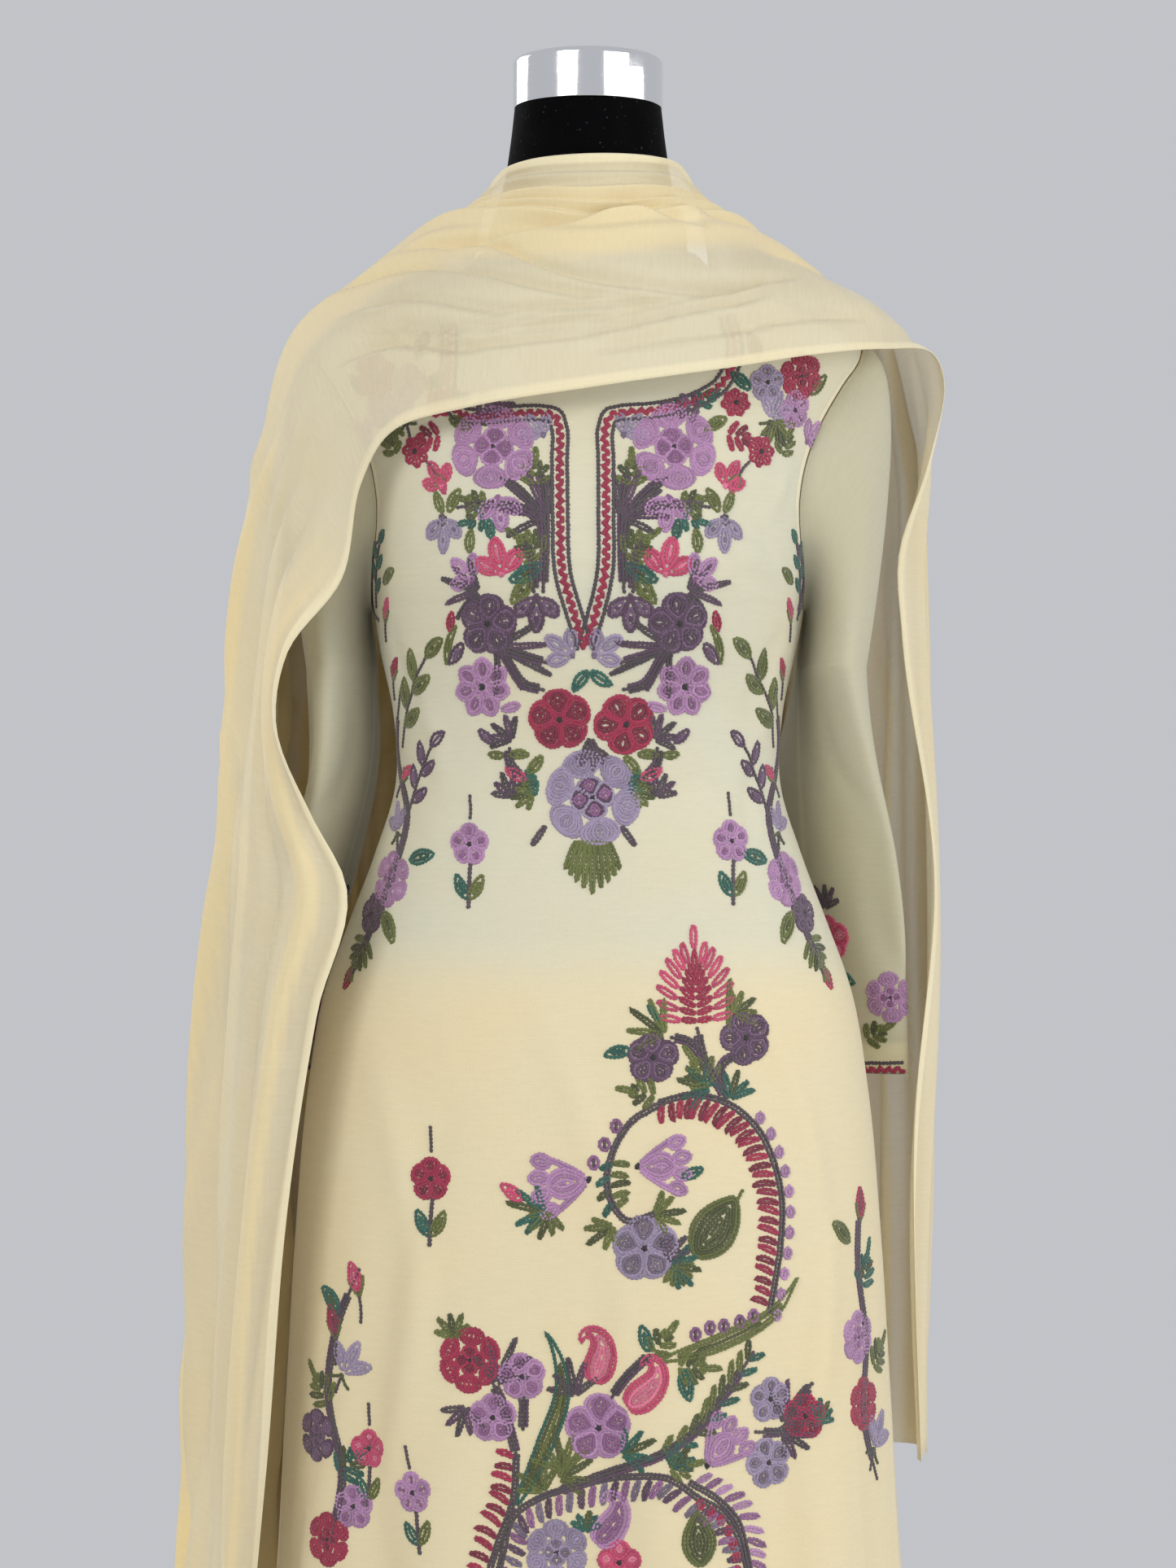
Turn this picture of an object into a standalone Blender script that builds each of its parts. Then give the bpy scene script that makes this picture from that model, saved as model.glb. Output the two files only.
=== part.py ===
"""A salwar kameez suit with its dupatta, worn by a limbless dress form on a stand.

Metres, +Z up. The front faces -Y and the origin is on the floor, under the middle of the form.
Each cloth is a thin wall: an outer grid of points, worked out from the tables below, and the same
grid moved inwards by the wall's thickness.
"""

import math
from collections import namedtuple

import bmesh
import bpy
import numpy as np

# Walls and seams
KAMEEZ_WALL = 0.0012
SALWAR_WALL = 0.0012
DUPATTA_WALL = 0.0010
SEAM_GAP = 0.0003

# The plan of the torso: 2 would be an ellipse, and more is squarer
SQUARENESS = 2.2

Section = namedtuple("Section", "z half_width front back")

# Outer face of the kameez, hem to neck edge
KAMEEZ = [
    Section(0.285, 0.238, 0.150, 0.152),
    Section(0.420, 0.228, 0.146, 0.148),
    Section(0.550, 0.217, 0.141, 0.143),
    Section(0.660, 0.211, 0.137, 0.139),
    Section(0.780, 0.204, 0.132, 0.134),
    Section(0.870, 0.196, 0.126, 0.130),
    Section(0.940, 0.184, 0.119, 0.126),
    Section(0.990, 0.166, 0.112, 0.117),
    Section(1.035, 0.149, 0.105, 0.103),
    Section(1.085, 0.1345, 0.097, 0.090),
    Section(1.130, 0.136, 0.103, 0.090),
    Section(1.180, 0.146, 0.117, 0.096),
    Section(1.230, 0.153, 0.127, 0.100),
    Section(1.280, 0.158, 0.124, 0.103),
    Section(1.320, 0.168, 0.112, 0.101),
    Section(1.360, 0.183, 0.095, 0.093),
    Section(1.380, 0.191, 0.083, 0.086),
    Section(1.392, 0.189, 0.075, 0.081),
    Section(1.402, 0.171, 0.070, 0.077),
    Section(1.412, 0.149, 0.066, 0.073),
    Section(1.422, 0.127, 0.064, 0.070),
    Section(1.432, 0.106, 0.063, 0.068),
    Section(1.442, 0.088, 0.062, 0.066),
    Section(1.452, 0.077, 0.0615, 0.064),
]

# The neck above the kameez, which the dupatta goes round
NECK = [
    Section(1.470, 0.069, 0.0580, 0.0605),
    Section(1.500, 0.0595, 0.0555, 0.0575),
    Section(1.530, 0.0545, 0.0530, 0.0540),
    Section(1.5555, 0.0515, 0.0515, 0.0515),
]

# The dress form below its shoulders. Above them it lies just inside the kameez.
FORM_BELOW = [
    Section(0.905, 0.150, 0.090, 0.096),
    Section(0.915, 0.161, 0.099, 0.105),
    Section(0.935, 0.1645, 0.1025, 0.1090),
    Section(0.960, 0.1620, 0.1020, 0.1075),
    Section(0.990, 0.1550, 0.1000, 0.1040),
    Section(1.035, 0.1430, 0.0970, 0.0960),
    Section(1.085, 0.1300, 0.0920, 0.0855),
    Section(1.130, 0.1315, 0.0980, 0.0855),
    Section(1.180, 0.1410, 0.1100, 0.0910),
    Section(1.230, 0.1480, 0.1190, 0.0950),
    Section(1.280, 0.1535, 0.1190, 0.0985),
    Section(1.320, 0.1640, 0.1080, 0.0970),
    Section(1.360, 0.1795, 0.0915, 0.0895),
]
FORM_SHOULDER_INSET, FORM_SHOULDER_DROP = 0.0043, 0.0028

# Bust: a soft rise on each side of the front
BUST_X, BUST_Z = 0.072, 1.235
BUST_REACH_X, BUST_REACH_Z = 0.050, 0.055
BUST_RISE = 0.011

# Armholes, and the side slits below the hip
ARMPIT_Z, SHOULDER_TIP_Z = 1.205, 1.388
ARMHOLE_TURN = math.radians(25)
ARMHOLE_FIT = 0.97
SLIT_TOP_Z = 0.720
SLIT_TURN = math.radians(9)

# Soft folds of the kameez skirt
SKIRT_FOLDS = 10
SKIRT_FOLD_TOP_Z = 0.960
SKIRT_FOLD_DEPTH = 0.0075
SKIRT_FOLD_PHASE = 0.6

SKIRT_ROWS, BODICE_ROWS = 7, 10
HIP_Z = 0.850
SHOULDER_ROW_HEIGHTS = [1.360, 1.380, 1.392, 1.412, 1.432, 1.452]
KAMEEZ_COLUMNS = 20

# Sleeves: each leaves the armhole outwards and hangs as a flat, empty tube.
# turn_deg turns its flat from front-and-back towards the back of the body.
SleeveRing = namedtuple("SleeveRing", "z x y half_length half_thickness turn_deg")
LEFT_SLEEVE = [
    SleeveRing(1.165, 0.1740, 0.026, 0.080, 0.0230, 4),
    SleeveRing(1.100, 0.1730, 0.030, 0.078, 0.0200, 8),
    SleeveRing(1.030, 0.1860, 0.034, 0.076, 0.0170, 10),
    SleeveRing(0.950, 0.2060, 0.036, 0.073, 0.0150, 10),
    SleeveRing(0.880, 0.2130, 0.038, 0.070, 0.0140, 10),
]
RIGHT_SLEEVE = [
    SleeveRing(1.165, 0.1720, 0.030, 0.080, 0.0230, 4),
    SleeveRing(1.100, 0.1690, 0.048, 0.078, 0.0200, 20),
    SleeveRing(1.030, 0.1690, 0.068, 0.076, 0.0180, 38),
    SleeveRing(0.950, 0.1700, 0.092, 0.073, 0.0170, 52),
    SleeveRing(0.875, 0.1720, 0.100, 0.070, 0.0170, 55),
]
SLEEVE_COLUMNS = 20
SLEEVE_CAP_ROWS, SLEEVE_HANG_ROWS = 8, 6
LEFT_CAP_REACH, RIGHT_CAP_REACH = 0.016, 0.026

# Salwar: a plain belt round the hip, two pleated legs and their cuffs
BELT = [
    Section(0.862, 0.1740, 0.1090, 0.1155),
    Section(0.905, 0.1725, 0.1085, 0.1145),
    Section(0.940, 0.1685, 0.1060, 0.1115),
    Section(0.976, 0.1624, 0.1027, 0.1073),
]
BELT_ROWS, BELT_COLUMNS = 3, 28

LegRing = namedtuple("LegRing", "z x half_width half_depth")
CROTCH_Z = 0.640
LEG = [
    LegRing(0.100, 0.1050, 0.0640, 0.0600),
    LegRing(0.140, 0.1050, 0.0720, 0.0680),
    LegRing(0.250, 0.1040, 0.0820, 0.0790),
    LegRing(0.400, 0.1020, 0.0890, 0.0860),
    LegRing(0.550, 0.0975, 0.0925, 0.0930),
    LegRing(CROTCH_Z, 0.0925, 0.0915, 0.0980),
]
LEG_COLUMNS = 32
LEG_ROWS_BELOW, LEG_ROWS_ABOVE = 7, 3
LEG_PLEATS = 8
LEG_PLEAT_DEPTH = 0.0060
CUFF_BOTTOM_Z, CUFF_TOP_Z = 0.040, 0.0995
CUFF_HALF_WIDTH, CUFF_HALF_DEPTH = 0.0660, 0.0620
CUFF_COLUMNS = 24

# Dupatta: five lines that run the whole length of the sheet, each with a row for each bend.
# along is the distance from the front of the throat, less than zero towards -X.
Bend = namedtuple("Bend", "along x y z")
LOWER_EDGE = [
    Bend(-1.16, -0.235, -0.090, 0.400),
    Bend(-0.95, -0.219, -0.100, 0.610),
    Bend(-0.75, -0.201, -0.104, 0.800),
    Bend(-0.60, -0.181, -0.105, 0.930),
    Bend(-0.50, -0.163, -0.100, 1.018),
    Bend(-0.45, -0.186, -0.094, 1.062),
    Bend(-0.38, -0.211, -0.088, 1.125),
    Bend(-0.33, -0.204, -0.090, 1.170),
    Bend(-0.26, -0.166, -0.094, 1.222),
    Bend(-0.19, -0.153, -0.098, 1.286),
    Bend(-0.13, -0.128, -0.110, 1.322),
    Bend(-0.08, -0.082, -0.122, 1.334),
    Bend(0.00, 0.000, -0.128, 1.347),
    Bend(0.10, 0.098, -0.118, 1.362),
    Bend(0.16, 0.153, -0.096, 1.373),
    Bend(0.22, 0.205, -0.054, 1.382),
    Bend(0.27, 0.241, -0.012, 1.384),
    Bend(0.31, 0.252, 0.014, 1.362),
    Bend(0.36, 0.242, 0.026, 1.310),
    Bend(0.43, 0.222, 0.034, 1.245),
    Bend(0.49, 0.225, 0.036, 1.190),
    Bend(0.68, 0.249, 0.040, 1.010),
    Bend(0.86, 0.232, 0.044, 0.830),
    Bend(1.10, 0.240, 0.044, 0.578),
]
FRONT_FOLD = [
    Bend(-1.16, -0.256, -0.066, 0.400),
    Bend(-0.70, -0.236, -0.070, 0.840),
    Bend(-0.50, -0.228, -0.064, 1.030),
    Bend(-0.38, -0.224, -0.052, 1.160),
    Bend(-0.28, -0.208, -0.056, 1.265),
    Bend(-0.20, -0.180, -0.066, 1.352),
    Bend(-0.14, -0.136, -0.086, 1.388),
    Bend(-0.08, -0.078, -0.106, 1.404),
    Bend(0.00, 0.000, -0.114, 1.408),
    Bend(0.08, 0.080, -0.104, 1.414),
    Bend(0.16, 0.155, -0.066, 1.420),
    Bend(0.24, 0.216, 0.002, 1.408),
    Bend(0.32, 0.241, 0.060, 1.348),
    Bend(0.45, 0.246, 0.084, 1.225),
    Bend(0.68, 0.254, 0.092, 1.005),
    Bend(1.10, 0.246, 0.096, 0.578),
]
RIDGE = [
    Bend(-1.16, -0.274, -0.006, 0.400),
    Bend(-0.75, -0.264, 0.004, 0.835),
    Bend(-0.50, -0.247, 0.014, 1.085),
    Bend(-0.35, -0.232, 0.020, 1.245),
    Bend(-0.26, -0.222, 0.018, 1.345),
    Bend(-0.21, -0.203, 0.012, 1.402),
    Bend(-0.16, -0.161, 0.000, 1.436),
    Bend(-0.11, -0.112, -0.030, 1.460),
    Bend(-0.06, -0.060, -0.074, 1.457),
    Bend(0.00, 0.000, -0.094, 1.453),
    Bend(0.06, 0.060, -0.074, 1.461),
    Bend(0.11, 0.112, -0.028, 1.466),
    Bend(0.16, 0.154, 0.004, 1.447),
    Bend(0.22, 0.192, 0.044, 1.412),
    Bend(0.30, 0.212, 0.100, 1.340),
    Bend(0.45, 0.215, 0.146, 1.195),
    Bend(1.10, 0.206, 0.156, 0.578),
]
BACK_FOLD = [
    Bend(-1.16, -0.206, 0.160, 0.400),
    Bend(-0.50, -0.204, 0.162, 1.085),
    Bend(-0.30, -0.190, 0.138, 1.285),
    Bend(-0.20, -0.158, 0.096, 1.388),
    Bend(-0.14, -0.116, 0.048, 1.446),
    Bend(-0.09, -0.082, -0.010, 1.486),
    Bend(-0.05, -0.048, -0.058, 1.487),
    Bend(0.00, 0.000, -0.078, 1.485),
    Bend(0.05, 0.050, -0.058, 1.490),
    Bend(0.09, 0.084, -0.008, 1.489),
    Bend(0.14, 0.116, 0.050, 1.450),
    Bend(0.20, 0.150, 0.094, 1.394),
    Bend(0.30, 0.158, 0.142, 1.290),
    Bend(0.50, 0.148, 0.172, 1.085),
    Bend(1.10, 0.136, 0.176, 0.578),
]
UPPER_EDGE = [
    Bend(-1.16, -0.078, 0.176, 0.400),
    Bend(-0.42, -0.082, 0.168, 1.140),
    Bend(-0.27, -0.088, 0.138, 1.288),
    Bend(-0.17, -0.088, 0.090, 1.400),
    Bend(-0.12, -0.080, 0.042, 1.462),
    Bend(-0.075, -0.0645, -0.006, 1.505),
    Bend(-0.035, -0.042, -0.050, 1.512),
    Bend(0.00, 0.002, -0.066, 1.514),
    Bend(0.035, 0.046, -0.048, 1.515),
    Bend(0.075, 0.067, -0.002, 1.512),
    Bend(0.12, 0.084, 0.044, 1.468),
    Bend(0.17, 0.088, 0.090, 1.408),
    Bend(0.27, 0.080, 0.138, 1.292),
    Bend(0.42, 0.070, 0.170, 1.140),
    Bend(1.10, 0.052, 0.182, 0.578),
]
# Where each line lies across the sheet, from the lower edge, 0, to the upper edge, 1
ACROSS = [0.0, 0.12, 0.30, 0.66, 1.0]
GUIDES = [LOWER_EDGE, FRONT_FOLD, RIDGE, BACK_FOLD, UPPER_EDGE]

# Pleats that run the length of the dupatta, shallow at the throat and deep at the ends
Pleat = namedtuple("Pleat", "along depth")
PLEAT_DEPTHS = [
    Pleat(-1.16, 0.0225),
    Pleat(-0.60, 0.0215),
    Pleat(-0.30, 0.0125),
    Pleat(-0.16, 0.0036),
    Pleat(0.00, 0.0020),
    Pleat(0.16, 0.0036),
    Pleat(0.30, 0.0125),
    Pleat(0.60, 0.0220),
    Pleat(1.10, 0.0235),
]
PLEAT_COUNT = 6
PLEAT_START, PLEAT_FULL = 0.18, 0.36
PLEAT_SWAY = 0.022
FLAT_COLUMNS, COLUMNS_PER_PLEAT = 5, 6
DUPATTA_CUTS = [-1.12, -0.30, 0.30, 1.08]
DUPATTA_ROWS = {"dupatta_left_fall": 9, "dupatta_neck": 15, "dupatta_right_fall": 8}
DUPATTA_CLEARANCE = 0.0042

# The form's neck cap, and the stand
CAP_RADIUS = 0.0525
CAP_BOTTOM_Z, CAP_TOP_Z = 1.5560, 1.5910
CAP_ROUNDING = 0.0045
FORM_COLUMNS = 28
POLE_X = 0.085
POLE_RADIUS = 0.0125
BASE_RADIUS, BASE_THICKNESS = 0.180, 0.012
COLLAR_RADIUS, COLLAR_HEIGHT = 0.024, 0.018

Finish = namedtuple("Finish", "colour roughness metallic")
FINISHES = {
    "georgette": Finish((0.86, 0.82, 0.62), 0.80, 0.0),
    "chiffon": Finish((0.88, 0.84, 0.64), 0.75, 0.0),
    "santoon": Finish((0.87, 0.80, 0.58), 0.60, 0.0),
    "form_cover": Finish((0.012, 0.012, 0.014), 0.85, 0.0),
    "chrome": Finish((0.80, 0.80, 0.80), 0.12, 1.0),
}


def through(knots, values, at):
    """Smooth curve through a table's rows, read at one place or at an array of places."""
    knots, values = np.asarray(knots, float), np.asarray(values, float)
    slopes = np.gradient(values, knots, axis=0)
    at = np.clip(np.asarray(at, float), knots[0], knots[-1])
    low = np.clip(np.searchsorted(knots, at) - 1, 0, len(knots) - 2)
    span = knots[low + 1] - knots[low]
    share = (at - knots[low]) / span
    spread = share.shape + (1,) * (values.ndim - 1)
    share, span = share.reshape(spread), span.reshape(spread)
    return (
        (1 + 2 * share) * (1 - share) ** 2 * values[low]
        + share * (1 - share) ** 2 * span * slopes[low]
        + share**2 * (3 - 2 * share) * values[low + 1]
        + share**2 * (share - 1) * span * slopes[low + 1]
    )


def column(table, name):
    return np.array([getattr(row, name) for row in table])


def eased(share):
    """0 below 0, 1 above 1, and smooth between."""
    share = np.clip(share, 0, 1)
    return share**2 * (3 - 2 * share)


def sizes_at(table, z):
    return [through(column(table, "z"), column(table, name), z) for name in ("half_width", "front", "back")]


def ring_point(table, angle, z):
    """Point of a section: angle 0 is its +X side, a quarter turn the front, half a turn the -X side."""
    half_width, front, back = sizes_at(table, z)
    cosine, sine = np.cos(angle), np.sin(angle)
    x = half_width * np.sign(cosine) * np.abs(cosine) ** (2 / SQUARENESS)
    y = -np.where(sine > 0, front, back) * np.sign(sine) * np.abs(sine) ** (2 / SQUARENESS)
    return np.stack([x, y, z + 0 * angle], -1)


def with_bust(points):
    x, y, z = points[..., 0], points[..., 1], points[..., 2]
    rise = np.exp(-(((np.abs(x) - BUST_X) / BUST_REACH_X) ** 2) - ((z - BUST_Z) / BUST_REACH_Z) ** 2)
    moved = points.copy()
    moved[..., 1] -= BUST_RISE * rise * (y < 0)
    return moved


def kameez_point(angle, z):
    """Outer face of the kameez, with its bust and the soft folds of its skirt."""
    points = with_bust(ring_point(KAMEEZ, angle, z))
    depth = SKIRT_FOLD_DEPTH * eased((SKIRT_FOLD_TOP_Z - z) / (SKIRT_FOLD_TOP_Z - KAMEEZ[0].z)) ** 1.3
    fold = depth * np.sin(SKIRT_FOLDS * angle + SKIRT_FOLD_PHASE) * np.abs(np.sin(angle)) ** 0.5
    outwards = points[..., :2] / np.linalg.norm(points[..., :2], axis=-1, keepdims=True)
    points[..., :2] += fold[..., None] * outwards
    return points


def edge_turn(z):
    """How far the panels' edges turn away from the side: round the armhole, and at the slit."""
    up = np.clip((z - ARMPIT_Z) / (SHOULDER_TIP_Z - ARMPIT_Z), 0, 1)
    down = np.clip((SLIT_TOP_Z - z) / (SLIT_TOP_Z - KAMEEZ[0].z), 0, 1)
    return ARMHOLE_TURN * np.sin(math.pi * up) ** 0.6 + SLIT_TURN * down**0.9


def inwards_of(outer, wall, closed):
    """What moves each point of a grid to the other face of its wall: a little more where it bends."""
    faces = np.cross(outer[1:, 1:] - outer[:-1, :-1], outer[1:, :-1] - outer[:-1, 1:])
    faces /= np.linalg.norm(faces, axis=-1, keepdims=True)
    left, right = (faces[:, -1:], faces[:, :1]) if closed else (faces[:, :1], faces[:, -1:])
    faces = np.concatenate([left, faces, right], axis=1)
    faces = np.concatenate([faces[:1], faces, faces[-1:]])
    total = faces[:-1, :-1] + faces[:-1, 1:] + faces[1:, :-1] + faces[1:, 1:]
    size = np.linalg.norm(total, axis=-1, keepdims=True)
    moves = total / size * wall / np.clip(size / 4, 0.5, 1)
    centre = outer.mean(axis=1, keepdims=True) if closed else np.array([0, 0, 1]) * outer
    return -moves if np.sum(moves * (outer - centre)) > 0 else moves


def finish_of(name):
    made = bpy.data.materials.get(name)
    if made:
        return made
    finish = FINISHES[name]
    made = bpy.data.materials.new(name)
    made.use_nodes = True
    shader = made.node_tree.nodes["Principled BSDF"]
    shader.inputs["Base Color"].default_value = (*finish.colour, 1)
    shader.inputs["Roughness"].default_value = finish.roughness
    shader.inputs["Metallic"].default_value = finish.metallic
    return made


def object_of(name, mesh, finish):
    mesh.materials.append(finish_of(finish))
    made = bpy.data.objects.new(name, mesh)
    bpy.context.scene.collection.objects.link(made)
    return made


def mesh_of(name, points, faces):
    """A mesh with its unused points dropped and its faces turned outwards."""
    mesh = bpy.data.meshes.new(name)
    mesh.from_pydata([tuple(p) for p in points], [], faces)
    shape = bmesh.new()
    shape.from_mesh(mesh)
    bmesh.ops.delete(shape, geom=[v for v in shape.verts if not v.link_faces], context="VERTS")
    bmesh.ops.recalc_face_normals(shape, faces=shape.faces)
    shape.to_mesh(mesh)
    shape.free()
    mesh.shade_smooth()
    mesh.set_sharp_from_angle(angle=math.radians(50))
    return mesh


def cloth(name, outer, inwards, finish, closed_rows=0):
    """A wall of cloth: the outer grid, the same grid moved inwards, and its edges.

    Both faces of the wall are split along the same, shorter diagonals, so that they never cross.
    In the first closed_rows rows the last column is the first, so that the cloth is a tube there.
    """
    rows, columns = outer.shape[:2]
    inner = outer + inwards
    index = np.arange(rows * columns).reshape(rows, columns)
    index[:closed_rows, -1] = index[:closed_rows, 0]
    below = index + rows * columns
    rising = np.linalg.norm(outer[1:, 1:] - outer[:-1, :-1], axis=-1)
    falling = np.linalg.norm(outer[1:, :-1] - outer[:-1, 1:], axis=-1)
    faces = []
    for r in range(rows - 1):
        for c in range(columns - 1):
            corners = [(r, c), (r, c + 1), (r + 1, c + 1), (r + 1, c)]
            if falling[r, c] < rising[r, c]:
                corners = corners[1:] + corners[:1]
            for half in (corners[:3], corners[2:] + corners[:1]):
                faces.append([index[corner] for corner in half])
                faces.append([below[corner] for corner in reversed(half)])
        if r + 1 >= closed_rows:
            for c in (0, columns - 1):
                faces.append([index[r, c], index[r + 1, c], below[r + 1, c], below[r, c]])
    for r in (0, rows - 1):
        for c in range(columns - 1):
            faces.append([index[r, c], index[r, c + 1], below[r, c + 1]])
            faces.append([index[r, c], below[r, c + 1], below[r, c]])
    points = np.concatenate([outer.reshape(-1, 3), inner.reshape(-1, 3)])
    return object_of(name, mesh_of(name, points, [[int(i) for i in face] for face in faces]), finish)


def stacked(name, rings, finish):
    """A closed solid of stacked rings, with a flat face at each end."""
    rows, columns = rings.shape[:2]
    index = np.arange(rows * columns).reshape(rows, columns)
    faces = [index[0].tolist(), index[-1].tolist()]
    for r in range(rows - 1):
        for c in range(columns):
            after = (c + 1) % columns
            faces.append([int(i) for i in (index[r, c], index[r, after], index[r + 1, after], index[r + 1, c])])
    return object_of(name, mesh_of(name, rings.reshape(-1, 3), faces), finish)


def turned(name, radius, bottom, top, x, finish, rounding=0.0, sides=32):
    """A round piece standing at x, with a rounded top edge where the piece has one."""
    bpy.ops.mesh.primitive_cylinder_add(
        vertices=sides, radius=radius, depth=top - bottom, location=(x, 0, (bottom + top) / 2)
    )
    made = bpy.context.object
    made.name = made.data.name = name
    made.data.materials.append(finish_of(finish))
    if rounding:
        for edge in made.data.edges:
            ends = [made.data.vertices[i].co.z for i in edge.vertices]
            if min(ends) > 0:
                weight = made.data.attributes.get("bevel_weight_edge")
                weight = weight or made.data.attributes.new("bevel_weight_edge", "FLOAT", "EDGE")
                weight.data[edge.index].value = 1.0
        bevel = made.modifiers.new("Rounded edge", "BEVEL")
        bevel.limit_method = "WEIGHT"
        bevel.width = rounding
        bevel.segments = 2
    made.data.shade_smooth()
    made.data.set_sharp_from_angle(angle=math.radians(40))
    return made


def kameez_rows():
    """Heights of the panel's rows: wide apart in the skirt, and closest at the shoulder."""
    skirt = np.linspace(KAMEEZ[0].z, HIP_Z, SKIRT_ROWS, endpoint=False)
    bodice = np.linspace(HIP_Z, SHOULDER_ROW_HEIGHTS[0], BODICE_ROWS, endpoint=False)
    return np.concatenate([skirt, bodice, SHOULDER_ROW_HEIGHTS])


def kameez_panel(name, front):
    """Front or back of the kameez, from side seam to side seam and from hem to neck edge."""
    z, across = np.meshgrid(kameez_rows(), np.linspace(0, 1, KAMEEZ_COLUMNS), indexing="ij")
    turn = edge_turn(z)
    angle = turn + across * (math.pi - 2 * turn)
    if not front:
        angle = -angle
    points = kameez_point(angle, z)
    inwards = inwards_of(points, KAMEEZ_WALL, closed=False)
    inwards[:, 0] = [-KAMEEZ_WALL, 0, 0]
    inwards[:, -1] = [KAMEEZ_WALL, 0, 0]
    points[..., 1] += (-0.5 if front else 0.5) * SEAM_GAP
    cloth(name, points, inwards, "georgette")


def armhole_ring(side):
    """The sleeve's first ring: up the front of the armhole from the armpit, and down its back.

    It lies just inside the straight runs of the panels' edges from row to row.
    """
    turn = np.linspace(0, 2 * math.pi, SLEEVE_COLUMNS + 1)
    up = (1 - np.cos(turn)) / 2
    clear = 2 * SEAM_GAP
    z = ARMPIT_Z + clear + up * (SHOULDER_TIP_Z - ARMPIT_Z - 2 * clear)
    rows = kameez_rows()
    edges = [kameez_point(way * edge_turn(rows), rows) for way in (1, -1)]
    x, y = (
        np.where(np.sin(turn) > 0, *(np.interp(z, rows, edge[:, axis]) for edge in edges)) for axis in (0, 1)
    )
    return np.stack([side * (x + SEAM_GAP), y * ARMHOLE_FIT, z], -1), up


def hanging_ring(table, z, side):
    """A ring of the empty sleeve: half_length is along its flat, which turns towards the back."""
    turn = np.linspace(0, 2 * math.pi, SLEEVE_COLUMNS + 1)
    x, y, length, thickness, lean = (
        through(-column(table, "z"), column(table, name), -z)
        for name in ("x", "y", "half_length", "half_thickness", "turn_deg")
    )
    lean = math.radians(float(lean))
    flat = -length * np.sin(turn)
    thick = -thickness * np.cos(turn)
    return np.stack(
        [
            side * (x - flat * math.sin(lean) + thick * math.cos(lean)),
            y + flat * math.cos(lean) + thick * math.sin(lean),
            np.full_like(turn, z),
        ],
        -1,
    )


def sleeve(name, table, side, reach):
    """Each strip leaves the armhole outwards, turns down over the shoulder and then hangs.

    The flat tube is cut along its front and back folds into the half by the body and the outer half.
    """
    start, up = armhole_ring(side)
    end = hanging_ring(table, table[0].z, side)
    out = start + np.stack([side * (0.006 + reach * up), 0 * up, 0.004 * up], -1)
    drop = (start[:, 2] - end[:, 2])[:, None] * [0, 0, 0.55]
    above = end + drop + np.stack([side * 0.020 * up, 0 * up, 0 * up], -1)
    rings = []
    for share in np.linspace(0, 1, SLEEVE_CAP_ROWS):
        rest = 1 - share
        rings.append(
            rest**3 * start + 3 * rest**2 * share * out + 3 * rest * share**2 * above + share**3 * end
        )
    heights = np.linspace(table[0].z, table[-1].z, SLEEVE_HANG_ROWS)
    rings += [hanging_ring(table, z, side) for z in heights[1:]]
    points = np.array(rings)
    points[:, -1] = points[:, 0]
    inwards = inwards_of(points, KAMEEZ_WALL, closed=True)
    fold = SLEEVE_COLUMNS // 4
    round_again = np.arange(-fold, 3 * fold + 1) % SLEEVE_COLUMNS
    for half, columns in (("inner", round_again[: 2 * fold + 1]), ("outer", round_again[2 * fold :])):
        strip = points[:, columns]
        for edge, beside in ((0, 1), (-1, -2)):
            way = strip[:, beside] - strip[:, edge]
            strip[:, edge] += way / np.linalg.norm(way, axis=-1, keepdims=True) * SEAM_GAP / 2
        cloth(f"{name}_{half}", strip, inwards[:, columns], "georgette")


def tube(name, points, wall, finish):
    """A tube of cloth, open at both ends."""
    points[:, -1] = points[:, 0]
    cloth(name, points, inwards_of(points, wall, closed=True), finish, closed_rows=len(points))


def salwar_belt():
    z, angle = np.meshgrid(
        np.linspace(BELT[0].z, BELT[-1].z, BELT_ROWS), np.linspace(0, 2 * math.pi, BELT_COLUMNS + 1), indexing="ij"
    )
    tube("salwar_belt", ring_point(BELT, angle, z), SALWAR_WALL, "santoon")


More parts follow.
